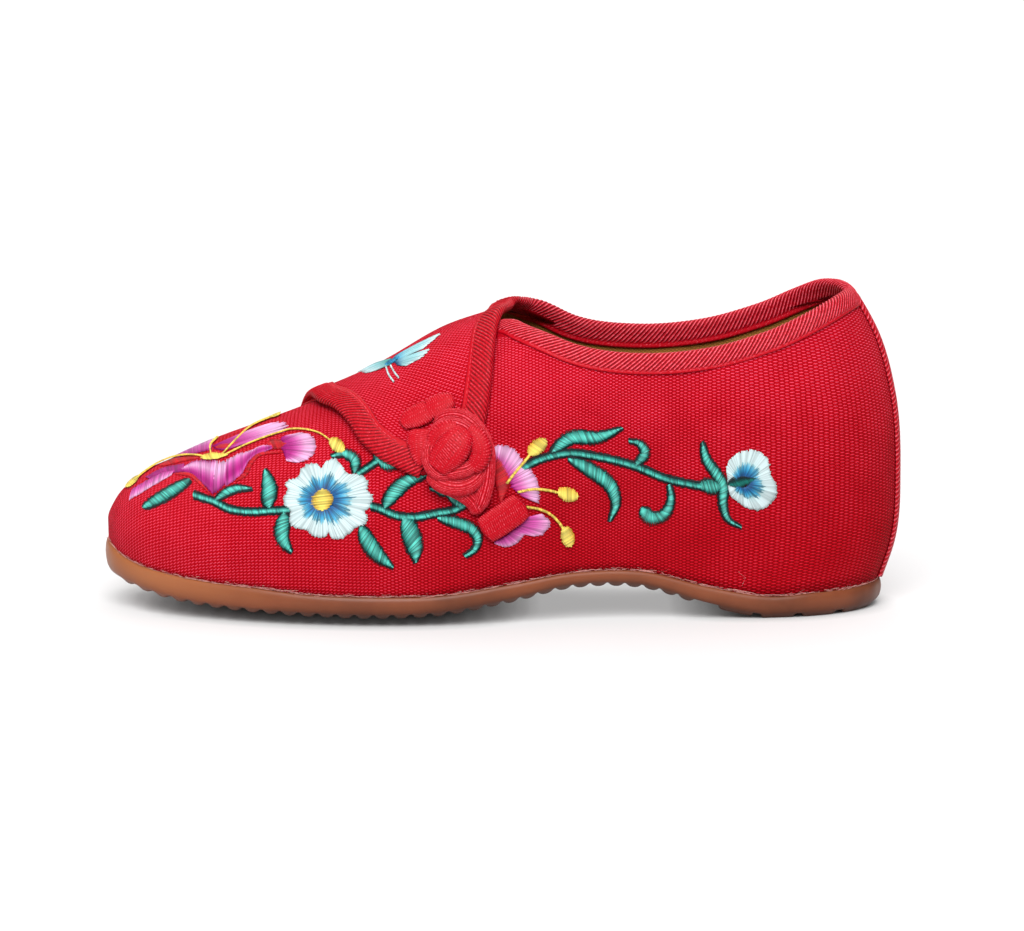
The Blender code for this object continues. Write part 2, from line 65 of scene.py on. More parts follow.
# The last, in millimetres: one row for each section from toe to heel. It follows the solids, except that the
# tip of the toe is 1 mm fuller and the seam around it is higher, as the photo shows.
LAST_COLUMNS = ("along", "lateral", "medial", "feather", "lean", "crest", "crest_across", "round", "swell")
LAST_ROWS = (
    (-122.8, 5.0, 5.0, 19.8, -0.2, 25.4, 5.0, 2.30, 0.0),
    (-121.1, -4.8, 14.8, 19.4, 0.3, 31.1, 5.0, 2.30, 0.6),
    (-117.1, -12.5, 22.5, 17.0, -0.3, 35.4, 4.9, 2.30, 1.0),
    (-110.5, -19.6, 29.4, 14.9, -0.5, 40.4, 4.9, 2.30, 1.4),
    (-102.0, -25.5, 34.2, 13.5, 0.0, 44.4, 4.8, 2.25, 1.8),
    (-90.0, -31.2, 37.8, 12.1, 0.0, 50.2, 4.6, 2.15, 2.1),
    (-75.0, -36.6, 40.3, 11.2, 0.0, 55.8, 4.4, 2.10, 2.4),
    (-58.0, -40.6, 41.5, 9.8, 0.0, 62.4, 4.2, 2.05, 2.5),
    (-38.0, -42.5, 41.0, 9.4, 0.0, 71.2, 4.0, 2.00, 2.5),
    (-18.0, -41.5, 37.5, 9.8, 0.0, 82.8, 4.6, 2.10, 2.5),
    (2.0, -38.0, 32.0, 12.5, 0.0, 92.8, 5.5, 2.50, 2.5),
    (22.0, -33.5, 27.2, 15.4, 0.0, 110.0, 3.0, 2.40, 2.6),
    (42.0, -30.5, 25.0, 15.2, 0.0, 132.0, 0.5, 2.40, 2.8),
    (62.0, -29.0, 25.2, 10.2, 0.0, 144.0, -0.3, 2.50, 3.2),
    (80.0, -27.6, 25.8, 7.0, 0.0, 146.0, -0.8, 2.50, 3.4),
    (94.0, -24.6, 23.8, 7.4, 0.0, 146.0, -0.6, 2.50, 3.2),
    (105.0, -18.6, 18.2, 7.6, 0.0, 146.0, -0.4, 2.50, 2.4),
    (112.0, -11.4, 11.2, 7.9, 0.0, 146.0, -0.2, 2.50, 1.4),
    (115.2, -5.0, 5.0, 8.1, 0.0, 146.0, 0.0, 2.50, 0.6),
    (116.2, 0.0, 0.0, 8.2, 0.0, 146.0, 0.0, 2.50, 0.0),
)
SHAPE_COLUMNS = ("round",)
SWELL_POWER = 0.9
MIDDLE_ALONG = -0.14 * MM
MIDDLE_ACROSS = -4.2 * MM
HEEL_STATION = len(LAST_ROWS) - 1
SECTION_KNOTS = np.arange(len(LAST_ROWS), dtype=float)
HEEL_BACK = np.array(((8, 0.0), (20, 3.9), (42, 5.3), (66, 3.4), (84, -1.8), (100, -10.8))) * MM
HEEL_START = 56.0 * MM
HEEL_REACH = 60.0 * MM
HEEL_FADE = 1.6

# Underside at the same sections, in millimetres.
BOTTOM_COLUMNS = ("edge", "crown", "footbed")
BOTTOM_ROWS = (
    (10.0, 0.0, 24.0), (9.4, 0.6, 21.8), (8.5, 1.5, 19.5), (7.0, 2.3, 17.4), (5.4, 2.8, 16.0),
    (4.2, 3.2, 14.8), (3.4, 3.4, 14.0), (2.9, 2.9, 13.0), (2.6, 2.6, 12.8), (3.4, 3.2, 14.4),
    (6.6, 2.2, 18.8), (10.4, 1.0, 24.6), (9.8, 0.5, 30.0), (3.9, 0.2, 34.0), (0.0, 0.0, 36.5),
    (0.0, 0.0, 37.4), (0.0, 0.0, 37.8), (0.2, 0.2, 38.0), (0.6, 0.2, 38.0), (0.9, 0.0, 38.0),
)

# Edges of the upper: station, then outer and inner side. They are turns for the slit, and heights in
# millimetres for the collar behind it.
SLIT_ROWS = np.array((
    (6.95, 0.200, 0.200), (7.15, 0.060, 0.1953), (7.40, -0.060, 0.1886),
    (8.0, -0.130, 0.1726), (9.0, -0.130, 0.1458), (9.6, -0.120, 0.1297), (10.0, -0.208, 0.1190),
))
COLLAR_ROWS = np.array((
    (10.0, 89.4, 91.7), (10.5, 86.4, 90.0), (11.0, 82.9, 85.7), (12.0, 80.4, 82.8),
    (13.0, 82.0, 84.2), (14.0, 86.7, 88.8), (15.0, 91.6, 93.9), (16.0, 95.2, 97.6),
    (17.0, 97.0, 98.6), (18.0, 97.4, 98.4), (19.0, 97.6, 97.6),
))

# Flap from sewn base to tip, as in the solids, with its lift in millimetres.
FLAP_COLUMNS = ("front_station", "front_turn", "rear_station", "rear_turn", "lift")
FLAP_ROWS = np.array((
    (6.75, 0.194, 10.15, 0.103, 0.0),
    (6.90, 0.100, 10.06, 0.050, 2.4),
    (7.02, 0.000, 9.98, 0.000, 3.0),
    (7.16, -0.135, 9.90, -0.135, 3.1),
    (7.42, -0.250, 9.80, -0.245, 3.3),
    (7.64, -0.360, 9.74, -0.365, 3.2),
    (7.82, -0.460, 9.68, -0.475, 2.8),
    (8.07, -0.540, 9.60, -0.570, 2.3),
    (8.36, -0.600, 9.46, -0.625, 2.1),
    (8.70, -0.660, 9.05, -0.675, 2.1),
))
FLAP_TIP = len(FLAP_ROWS) - 1
HUMP_SAG = 1.15
SAG_START = 8.7
SAG_REACH = 1.3
SAG_TURN = 0.175

# Soft troughs and ridges of the canvas: side, then in millimetres the start and end by along and height,
# the reach and the depth.
CREASES = (
    (-1, 70, 84, 58, 30, 8.0, 0.55),
    (-1, 58, 82, 47, 34, 7.0, -0.45),
    (-1, 8, 30, 40, 34, 6.5, -0.40),
    (-1, 14, 42, 38, 46, 7.0, 0.30),
    (-1, -66, 50, -54, 34, 6.0, -0.45),
    (-1, -92, 22, -70, 27, 6.0, 0.30),
    (-1, 88, 30, 104, 26, 6.0, -0.40),
    (-1, 92, 66, 106, 58, 6.5, 0.30),
    (1, 66, 84, 54, 32, 8.0, 0.50),
    (1, 54, 80, 44, 36, 7.0, -0.40),
    (1, -58, 44, -36, 30, 7.0, -0.40),
    (1, 6, 40, 36, 34, 7.0, -0.35),
)
CREASE_ENDS = 0.35

# Thickness of the upper's wall with its lining, and of its outer cloth alone.
LINED_WALL = 1.8 * MM
CLOTH = 1.0 * MM

# Thread, cloth and rubber colours, as they read on a screen under the scene's light.
LIGHT_LEVEL = 1.36
SCREEN_COLOURS = {
    # The canvas's darkest and brightest reds are painted shade in the weave's gaps and painted highlight on
    # its threads.
    "red_shade": (126, 0, 8),
    "red": (208, 0, 24),
    "red_highlight": (255, 88, 118),
    # The tape's darkest and lightest reds are painted shade in its grooves and painted highlight on its ribs.
    "tape_shade": (116, 0, 12),
    "tape_red": (194, 2, 26),
    "tape_highlight": (255, 112, 130),
    "stitch_red": (226, 62, 78),
    # The deepest gum is painted shade low on the sole's wall and on its ribs.
    "gum_shade": (58, 26, 13),
    "gum": (132, 70, 42),
    "gum_light": (166, 99, 58),
    "lining": (196, 136, 62),
    # The darker lining colour is painted shade in the weave's gaps.
    "lining_shade": (130, 84, 32),
    "teal": (14, 140, 128),
    "mint": (104, 220, 204),
    "pine": (0, 30, 34),
    "snow": (208, 228, 230),
    "ice": (156, 208, 214),
    "sky": (48, 162, 206),
    "ocean": (6, 88, 148),
    "lemon": (255, 232, 112),
    "gold": (238, 192, 62),
    "magenta": (170, 8, 120),
    "pink": (208, 84, 168),
    "blush": (234, 174, 216),
    "crimson": (204, 4, 26),
    "fray": (240, 166, 158),
    "lint": (255, 240, 236),
}


def linear(name):
    """A named colour in the render's linear values."""
    value = np.array(SCREEN_COLOURS[name]) / 255.0
    return np.where(value <= 0.04045, value / 12.92, ((value + 0.055) / 1.055) ** 2.4) / LIGHT_LEVEL


# Curves and the last

def smooth(knots, rows, at, slopes=None):
    """Smooth curve through the rows of a table, going straight on past its ends."""
    knots = np.asarray(knots, float)
    rows = np.asarray(rows, float)
    at = np.asarray(at, float)
    if slopes is None:
        slopes = np.gradient(rows, knots, axis=0)
    index = np.clip(np.searchsorted(knots, at, side="right") - 1, 0, len(knots) - 2)
    span = knots[index + 1] - knots[index]
    share = np.clip((at - knots[index]) / span, 0.0, 1.0)
    before = np.minimum(at - knots[0], 0.0)
    after = np.maximum(at - knots[-1], 0.0)
    if rows.ndim == 2:
        span, share, before, after = (value[..., None] for value in (span, share, before, after))
    rest = 1.0 - share
    start = (1.0 + 2.0 * share) * rest**2 * rows[index] + share * rest**2 * span * slopes[index]
    end = share**2 * (3.0 - 2.0 * share) * rows[index + 1] - share**2 * rest * span * slopes[index + 1]
    return start + end + before * slopes[0] + after * slopes[-1]


def last_tables():
    """The last in metres, with slopes that let both sides run into each other at toe and heel."""
    free = ("lateral", "medial", "crest")
    scales = [1.0 if name in SHAPE_COLUMNS else MM for name in LAST_COLUMNS]
    rows = np.array(LAST_ROWS) * scales
    slopes = np.gradient(rows, axis=0)
    level = [column for column, name in enumerate(LAST_COLUMNS) if name not in free]
    slopes[0, level] = 0.0
    slopes[-1, level] = 0.0
    return rows, slopes


LAST, LAST_SLOPES = last_tables()


def section(station):
    """Named sizes of the last at a station."""
    values = smooth(SECTION_KNOTS, LAST, np.clip(station, 0.0, HEEL_STATION), LAST_SLOPES)
    return {name: values[..., column] for column, name in enumerate(LAST_COLUMNS)}


def bottom(station):
    """Named heights of the sole and the footbed at a station."""
    values = smooth(SECTION_KNOTS, np.array(BOTTOM_ROWS) * MM, station)
    return {name: values[..., column] for column, name in enumerate(BOTTOM_COLUMNS)}


def heel_curve(along, height):
    """How far the back of the heel stands out at a height, fading away ahead of the heel."""
    knots = HEEL_BACK[:, 0]
    fade = np.clip((along - HEEL_START) / HEEL_REACH, 0.0, 1.0) ** HEEL_FADE
    return fade * smooth(knots, HEEL_BACK[:, 1], np.clip(height, knots[0], knots[-1]))


def last(station, turn):
    """Point on the upper's outside: turn runs from -1 at the outer feather line over the crest to 1."""
    station, turn = np.broadcast_arrays(np.asarray(station, float), np.asarray(turn, float))
    part = section(station)
    angle = (1.0 - np.abs(np.clip(turn, -1.0, 1.0))) * np.pi / 2.0
    reach = np.maximum(np.cos(angle), 0.0) ** (2.0 / part["round"])
    rise = np.maximum(np.sin(angle), 0.0) ** (2.0 / part["round"])
    edge = np.where(turn < 0.0, part["lateral"], part["medial"])
    swell = np.sign(turn) * part["swell"] * np.sin(np.pi * np.clip(rise, 0.0, 1.0) ** SWELL_POWER)
    across = part["crest_across"] + (edge - part["crest_across"]) * reach + swell
    height = part["feather"] + (part["crest"] - part["feather"]) * rise
    along = part["along"] + part["lean"] * rise + heel_curve(part["along"], height)
    return np.stack([along - MIDDLE_ALONG, across - MIDDLE_ACROSS, height], axis=-1)


def turn_at_height(station, side, height):
    """Turn at which one side of the last has a height."""
    part = section(station)
    rise = (height - part["feather"]) / (part["crest"] - part["feather"])
    angle = np.arcsin(np.clip(rise, 0.0, 1.0) ** (part["round"] / 2.0))
    return side * (1.0 - angle / (np.pi / 2.0))


def tangents(surface, first, second):
    """How a surface's point moves with each of its two coordinates."""
    along = surface(first + STEP, second) - surface(first - STEP, second)
    across = surface(first, second + STEP) - surface(first, second - STEP)
    return along / (2.0 * STEP), across / (2.0 * STEP)


def unit(vectors):
    """Vectors at length 1."""
    return vectors / np.maximum(np.linalg.norm(vectors, axis=-1, keepdims=True), NO_LENGTH)


def lengths(points, axis=0):
    """Distance covered along an axis of a grid of points."""
    steps = np.linalg.norm(np.diff(points, axis=axis), axis=-1)
    start = np.zeros_like(np.take(steps, [0], axis=axis))
    return np.concatenate([start, np.cumsum(steps, axis=axis)], axis=axis)


def facing(surface, first, second):
    """Outward normal of a surface."""
    return unit(np.cross(*tangents(surface, first, second)))


def solve_pair(along, across, target, damping=(0.0, 0.0)):
    """Shares of two directions that together come closest to a target."""
    aa = np.sum(along * along, axis=-1) + damping[0]
    ab = np.sum(along * across, axis=-1)
    bb = np.sum(across * across, axis=-1) + damping[1]
    toward_a = np.sum(along * target, axis=-1)
    toward_b = np.sum(across * target, axis=-1)
    below = aa * bb - ab * ab
    return (bb * toward_a - ab * toward_b) / below, (aa * toward_b - ab * toward_a) / below


def walk(surface, first, second, direction, distance, paces=4):
    """Coordinates reached by moving a distance over a surface in a direction in space."""
    first = np.array(first, float)
    second = np.array(second, float)
    pace = distance / paces
    for _ in range(paces):
        steps = solve_pair(*tangents(surface, first, second), direction)
        first = np.minimum(first + steps[0] * pace, HEEL_STATION)
        second = second + steps[1] * pace
    return first, second


def relief(points, side):
    """Height of the canvas's soft troughs and ridges at points on one side of the shoe."""
    total = np.zeros(points.shape[:-1])
    place = points[..., [0, 2]] / MM
    for crease_side, x0, z0, x1, z1, reach, depth in CREASES:
        start = np.array((x0, z0), float)
        way = np.array((x1, z1), float) - start
        share = np.clip((place - start) @ way / (way @ way), 0.0, 1.0)
        away = np.linalg.norm(place - start - share[..., None] * way, axis=-1)
        taper = CREASE_ENDS + (1.0 - CREASE_ENDS) * np.sin(np.pi * share)
        shape = depth * np.exp(-(away / reach) ** 2) * taper
        total += np.where(side * crease_side > 0, shape, 0.0)
    return total * MM


def canvas_face(station, turn):
    """The outside of the canvas, with its creases."""
    base = last(station, turn)
    lift = relief(base, np.sign(turn))
    return base + facing(last, station, turn) * lift[..., None]


def flap_face(row, share):
    """Point on the outside of the flap: row counts from base to tip, share runs from front to rear."""
    row, share = np.broadcast_arrays(np.asarray(row, float), np.asarray(share, float))
    values = smooth(np.arange(len(FLAP_ROWS)), FLAP_ROWS, row)
    part = {name: values[..., column] for column, name in enumerate(FLAP_COLUMNS)}
    station = part["front_station"] + share * (part["rear_station"] - part["front_station"])
    turn = part["front_turn"] + share * (part["rear_turn"] - part["front_turn"])
    near_hump = np.clip((station - SAG_START) / SAG_REACH, 0.0, 1.0) ** 2
    over_throat = np.cos(np.clip(np.abs(turn) / SAG_TURN, 0.0, 1.0) * np.pi / 2.0) ** 2
    lift = part["lift"] * MM * (1.0 - HUMP_SAG * near_hump * over_throat)
    return last(station, turn) + facing(last, station, turn) * lift[..., None]


def opening_edge(station, side):
    """Turn of the upper's top edge: the closed crest, the throat slit, then the collar."""
    column = 1 if side < 0 else 2
    crest_line = SLIT_ROWS[0, column] * station / SLIT_ROWS[0, 0]
    slit_line = np.interp(station, SLIT_ROWS[:, 0], SLIT_ROWS[:, column])
    collar_place = np.maximum(station, COLLAR_ROWS[0, 0])
    height = smooth(COLLAR_ROWS[:, 0], COLLAR_ROWS[:, column] * MM, collar_place)
    collar_line = turn_at_height(station, side, height)
    behind = np.where(station <= SLIT_ROWS[-1, 0], slit_line, collar_line)
    return np.where(station < SLIT_ROWS[0, 0], crest_line, behind)


def even_stations(count, turn):
    """Stations that lie evenly spaced along the shoe at a turn."""
    fine = np.linspace(0.0, HEEL_STATION, FINE_STATIONS)
    length = lengths(last(fine, turn))
    return np.interp(np.linspace(0.0, length[-1], count), length, fine)


# Picture pixels on the shoe's surface

# Search for a pixel on a cloth: rounds, then damping and longest step for each coordinate.
LOCATE_ROUNDS = 40
LOCATE_DAMPING = (4.0, 1600.0)
LOCATE_STEPS = (0.8, 0.08)
# Where the search starts, and how far it may go, in each cloth's own coordinates.
GUESS_SAMPLES = 400
GUESS_LINE = -0.7
GUESS_TURN = -0.5
FLAP_MIDDLE = (4.0, 0.5)
UPPER_LIMITS = ((0.05, 18.9), (-0.99, 0.35))
FLAP_LIMITS = ((0.3, 9.0), (0.0, 1.0))


def project(points):
    """Picture pixel at which the camera sees a point."""
    away = points - (VIEW_CENTRE - VIEW_FORWARD * VIEW_DISTANCE)
    depth = away @ VIEW_FORWARD
    across = IMAGE_WIDTH / 2.0 + FOCAL_PIXELS * away[..., 0] / depth
    down = IMAGE_HEIGHT / 2.0 - FOCAL_PIXELS * (away @ VIEW_UPWARD) / depth
    return np.stack([across, down], axis=-1)


def locate(surface, pixels, first, second, limits):
    """Coordinates on a surface that the camera sees at the given pixels."""
    for _ in range(LOCATE_ROUNDS):
        seen = project(surface(first, second))
        along = (project(surface(first + STEP, second)) - seen) / STEP
        across = (project(surface(first, second + STEP)) - seen) / STEP
        steps = solve_pair(along, across, pixels - seen, LOCATE_DAMPING)
        steps = [np.clip(step, -most, most) for step, most in zip(steps, LOCATE_STEPS)]
        first = np.clip(first + steps[0], *limits[0])
        second = np.clip(second + steps[1], *limits[1])
    return first, second


class Cloth:
    """One of the shoe's outer cloths, with the way to find a pixel on it."""

    def __init__(self, surface, plain, guess, limits):
        self.surface = surface
        self.plain = plain
        self.guess = guess
        self.limits = limits

    def find(self, pixels):
        first, second = self.guess(pixels)
        return locate(self.plain, pixels, first, second, self.limits)

    def points(self, pixels):
        """Points on the cloth and the normals there."""
        place = self.find(np.asarray(pixels, float))
        return self.surface(*place), facing(self.plain, *place)


def upper_guess(pixels):
    fine = np.linspace(0.0, HEEL_STATION, GUESS_SAMPLES)
    along = (pixels[..., 0] - IMAGE_WIDTH / 2.0) * PIXEL + VIEW_CENTRE[0]
    return np.interp(along, last(fine, GUESS_LINE)[:, 0], fine), np.full(pixels.shape[:-1], GUESS_TURN)


def flap_guess(pixels):
    return tuple(np.full(pixels.shape[:-1], value) for value in FLAP_MIDDLE)


UPPER = Cloth(canvas_face, last, upper_guess, UPPER_LIMITS)
FLAP = Cloth(flap_face, flap_face, flap_guess, FLAP_LIMITS)


# Meshes

class Shape:
    """Grids of points gathered into one mesh, with cloth coordinates and colours."""

    def __init__(self):
        self.points = []
        self.faces = []
        self.cloth = []
        self.tint = []
        self.count = 0

    def grid(self, points, cloth=None, tint=None, wrap=False, caps=False):
        """Add one grid (rows, columns, 3) or a stack of them (items, rows, columns, 3)."""
        points = np.asarray(points, float)
        if points.ndim == 3:
            points = points[None]
        shape = points.shape[:3]
        index = self.count + np.arange(np.prod(shape)).reshape(shape)
        right = np.roll(index, -1, axis=2) if wrap else index[:, :, 1:]
        left = index if wrap else index[:, :, :-1]
        quads = np.stack([left[:, :-1], left[:, 1:], right[:, 1:], right[:, :-1]], axis=-1)
        self.faces += quads.reshape(-1, 4).tolist()
        if caps:
            self.faces += index[:, 0, :].tolist()
            self.faces += index[:, -1, ::-1].tolist()
        self.points.append(points.reshape(-1, 3))
        flat = np.zeros(shape + (2,)) if cloth is None else np.broadcast_to(cloth, shape + (2,))
        self.cloth.append(flat.reshape(-1, 2))
        paint = np.ones(shape + (3,)) if tint is None else np.broadcast_to(tint, shape + (3,))
        self.tint.append(paint.reshape(-1, 3))
        self.count += index.size

    def build(self, name, material, weld=0.0):
        """One named piece that rides on the shoe's body."""
        mesh = bpy.data.meshes.new(name)
        mesh.from_pydata(np.concatenate(self.points).tolist(), [], self.faces)
        cloth = np.concatenate(self.cloth)
        tint = np.concatenate(self.tint)
        corners = np.zeros(len(mesh.loops), np.int32)
        mesh.loops.foreach_get("vertex_index", corners)
        layer = mesh.uv_layers.new(name="cloth")
        layer.data.foreach_set("uv", cloth[corners].astype(np.float32).ravel())
        paint = mesh.color_attributes.new("tint", "FLOAT_COLOR", "POINT")
        paint.data.foreach_set("color", np.c_[tint, np.ones(len(tint))].astype(np.float32).ravel())
        if weld:
            weld_mesh(mesh, weld)
        mesh.shade_smooth()
        mesh.materials.append(material)
        piece = bpy.data.objects.new(name, mesh)
        bpy.context.scene.collection.objects.link(piece)
        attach(piece, "root")
        return piece


def weld_mesh(mesh, distance):
    """Join borders that meet, and drop the loose corner that this leaves at the toe."""
    form = bmesh.new()
    form.from_mesh(mesh)
    bmesh.ops.remove_doubles(form, verts=form.verts, dist=distance)
    spare = [vert for vert in form.verts if len(vert.link_edges) == 2 and not vert.is_boundary]
    bmesh.ops.dissolve_verts(form, verts=spare)
    form.to_mesh(mesh)
    form.free()


def thicken(piece, thickness, even=True):
    """Give a sheet its thickness, inward from its face."""
    shell = piece.modifiers.new("thickness", "SOLIDIFY")
    shell.thickness = thickness
    shell.offset = -1.0
    shell.use_even_offset = even


def grid_normals(points):
    """Outward normals of a grid whose columns close into a ring."""
    along = np.gradient(points, axis=0)
    across = np.roll(points, -1, axis=1) - np.roll(points, 1, axis=1)
    return unit(np.cross(along, across))


# Materials

def math_node(tree, operation, *values):
    """Maths on sockets and plain values."""
    node = tree.nodes.new("ShaderNodeMath")
    node.operation = operation
    for socket, value in zip(node.inputs, values):
        if isinstance(value, (int, float)):
            socket.default_value = value
        else:
            tree.links.new(value, socket)
    return node.outputs[0]


def multiply(tree, first, second):
    return math_node(tree, "MULTIPLY", first, second)


def add(tree, first, second):
    return math_node(tree, "ADD", first, second)


def wave(tree, value):
    """Round humps, one for each whole step of a value."""
    return math_node(tree, "ABSOLUTE", math_node(tree, "SINE", multiply(tree, value, np.pi)))


def place_node(tree):
    """Place in the shoe's own space, by axis."""
    place = tree.nodes.new("ShaderNodeSeparateXYZ")
    tree.links.new(tree.nodes.new("ShaderNodeTexCoord").outputs["Object"], place.inputs[0])
    return place.outputs


def tint_node(tree, output):
    """The mesh's own tint, as Color or as its mean, Fac."""
    node = tree.nodes.new("ShaderNodeAttribute")
    node.attribute_name = "tint"
    return node.outputs[output]


def mix_node(tree, share, first, second):
    """Blend of two colours given as linear values."""
    node = tree.nodes.new("ShaderNodeMix")
    node.data_type = "RGBA"
    tree.links.new(share, node.inputs["Factor"])
    node.inputs[6].default_value = (*first, 1.0)
    node.inputs[7].default_value = (*second, 1.0)
    return node.outputs[2]


def ramp_node(tree, share, stops):
    """Colours that follow a value: pairs of place and name, from low to high."""
    node = tree.nodes.new("ShaderNodeValToRGB")
    ends = node.color_ramp.elements
    while len(ends) < len(stops):
        ends.new(0.5)
    for element, (place, name) in zip(ends, stops):
        element.position = place
        element.color = (*linear(name), 1.0)
    tree.links.new(share, node.inputs["Fac"])
    return node.outputs["Color"]


def noise_node(tree, scale, detail=3.0):
    """Even noise through the shoe's own space, from 0 to 1."""
    place = tree.nodes.new("ShaderNodeTexCoord").outputs["Object"]
    noise = tree.nodes.new("ShaderNodeTexNoise")
    noise.inputs["Scale"].default_value = scale
    noise.inputs["Detail"].default_value = detail
    tree.links.new(place, noise.inputs["Vector"])
    return noise.outputs["Fac"]


def bump_node(tree, height, distance, strength=1.0):
    bump = tree.nodes.new("ShaderNodeBump")
    bump.inputs["Distance"].default_value = distance
    bump.inputs["Strength"].default_value = strength
    tree.links.new(height, bump.inputs["Height"])
    return bump.outputs["Normal"]


COAT_ROUGHNESS = 0.25


def new_material(name, roughness, specular=0.5, coat=0.0):
    material = bpy.data.materials.new(name)
    material.use_nodes = True
    shader = material.node_tree.nodes["Principled BSDF"]
    shader.inputs["Roughness"].default_value = roughness
    shader.inputs["Specular IOR Level"].default_value = specular
    shader.inputs["Coat Weight"].default_value = coat
    shader.inputs["Coat Roughness"].default_value = COAT_ROUGHNESS
    return material, material.node_tree, shader


def dress(tree, shader, colour, normal):
    """Link a material's colour and bump."""
    tree.links.new(colour, shader.inputs["Base Color"])
    tree.links.new(normal, shader.inputs["Normal"])


# Pitch of columns and rows in each weave, how much its threads wander, and the height of column threads.
CANVAS_PITCH = (1.24 * MM, 0.49 * MM)
LINING_PITCH = (0.7 * MM, 0.5 * MM)
WANDER = 0.5
COLUMN_HEIGHT = 0.7
# Painted shade low at the rear of the canvas: where it starts and fades, in metres, and how strong it gets.
REAR_START = -0.12
REAR_FADE = 0.13
LOW_START = 0.075
LOW_FADE = 0.05
REAR_SHADE_STRENGTH = 0.2


def weave(tree, column_pitch, row_pitch):
    """Plain weave on the cloth coordinates: height of the threads, and 1 where a row thread lies on top."""
    coordinates = tree.nodes.new("ShaderNodeUVMap")
    coordinates.uv_map = "cloth"
    split = tree.nodes.new("ShaderNodeSeparateXYZ")
    tree.links.new(coordinates.outputs["UV"], split.inputs[0])
    wobble = multiply(tree, noise_node(tree, scale=260.0, detail=2.0), WANDER)
    column = add(tree, math_node(tree, "DIVIDE", split.outputs[0], column_pitch), wobble)
    row = add(tree, math_node(tree, "DIVIDE", split.outputs[1], row_pitch), wobble)
    round_column = wave(tree, column)
    round_row = wave(tree, row)
    cells = add(tree, math_node(tree, "FLOOR", column), math_node(tree, "FLOOR", row))
    over = math_node(tree, "FLOORED_MODULO", cells, 2.0)
    row_top = multiply(tree, round_row, math_node(tree, "POWER", round_column, 0.5))
    column_top = multiply(tree, round_column, multiply(tree, round_row, COLUMN_HEIGHT))
    under = math_node(tree, "SUBTRACT", 1.0, over)
    height = add(tree, multiply(tree, row_top, over), multiply(tree, column_top, under))
    return height, over


def rear_shade(tree):
    """0 over the front of the shoe, rising to 1 low on its rear part, where the cloth gets painted shade."""
    place = place_node(tree)
    behind = math_node(tree, "MULTIPLY_ADD", place["X"], 1.0 / REAR_FADE, -REAR_START / REAR_FADE)
    low = math_node(tree, "MULTIPLY_ADD", place["Z"], -1.0 / LOW_FADE, LOW_START / LOW_FADE)
    for value in (behind, low):
        value.node.use_clamp = True
    return multiply(tree, behind, low)


def make_canvas():
    """Red cotton canvas: row threads with painted highlights over gaps in painted shade, and painted shade
    low at the rear.
    """
    material, tree, shader = new_material("canvas_weave", roughness=0.8, specular=0.06)
    height, over = weave(tree, *CANVAS_PITCH)
    # Painted highlights on the raised and top threads, painted shade in the gaps between them.
    lit = add(tree, multiply(tree, height, 0.5), multiply(tree, over, 0.3))
    mottled = add(tree, lit, multiply(tree, noise_node(tree, scale=90.0), 0.2))
    share = math_node(tree, "MULTIPLY_ADD", rear_shade(tree), -REAR_SHADE_STRENGTH, mottled)
    stops = ((0.05, "red_shade"), (0.4, "red"), (0.58, "red"), (0.9, "red_highlight"))
    dress(tree, shader, ramp_node(tree, share, stops), bump_node(tree, height, 0.2 * MM))
    return material


def make_tape():
    """Ribbed tape: the ribs are modelled, with painted shade in their grooves and painted highlights on their
    crests, and fine yarns across them.
    """
    material, tree, shader = new_material("ribbed_tape", roughness=0.5, specular=0.12)
    noise = noise_node(tree, scale=1700.0, detail=2.0)
    fleck = multiply(tree, math_node(tree, "SUBTRACT", noise, 0.5), 0.7)
    share = add(tree, tint_node(tree, "Fac"), fleck)
    stops = ((0.0, "tape_shade"), (0.3, "tape_red"), (0.7, "tape_red"), (1.0, "tape_highlight"))
    yarns = bump_node(tree, noise_node(tree, scale=2600.0, detail=2.0), 0.07 * MM, strength=0.7)
    dress(tree, shader, ramp_node(tree, share, stops), yarns)
    return material


def make_thread(name, roughness):
    """Twisted yarn that takes its colour from the stitch it is in."""
    material, tree, shader = new_material(name, roughness, specular=0.3)
    twist = bump_node(tree, noise_node(tree, scale=3000.0, detail=2.0), 0.05 * MM, strength=0.5)
    dress(tree, shader, tint_node(tree, "Color"), twist)
    return material


# How fast the rubber turns paler towards the toe, for each metre, and its share at the middle of the shoe.
TOE_PALE = 8.0
TOE_PALE_START = -0.42
GLOW_DEPTHS = (4.0 * MM, 1.5 * MM, 0.6 * MM)


def make_rubber():
    """Satin gum rubber: brown with faint clouds, paler towards the toe, and painted shade darker down the
    wall and on the ribs.
    """
    material, tree, shader = new_material("gum_rubber_satin", roughness=0.4, specular=0.22, coat=0.08)
    pale = math_node(tree, "MULTIPLY_ADD", place_node(tree)["X"], -TOE_PALE, TOE_PALE_START)
    pale.node.use_clamp = True
    cloudy = math_node(tree, "MULTIPLY_ADD", noise_node(tree, scale=42.0, detail=4.0), 0.4, pale)
    share = multiply(tree, tint_node(tree, "Fac"), cloudy)
    stops = ((0.0, "gum_shade"), (0.22, "gum"), (0.75, "gum_light"))
    grain = bump_node(tree, noise_node(tree, scale=700.0, detail=4.0), 0.08 * MM, strength=0.35)
    dress(tree, shader, ramp_node(tree, share, stops), grain)
    rough = add(tree, multiply(tree, noise_node(tree, scale=180.0), 0.25), 0.33)
    tree.links.new(rough, shader.inputs["Roughness"])
    shader.inputs["Subsurface Weight"].default_value = 0.12
    shader.inputs["Subsurface Radius"].default_value = GLOW_DEPTHS
    return material


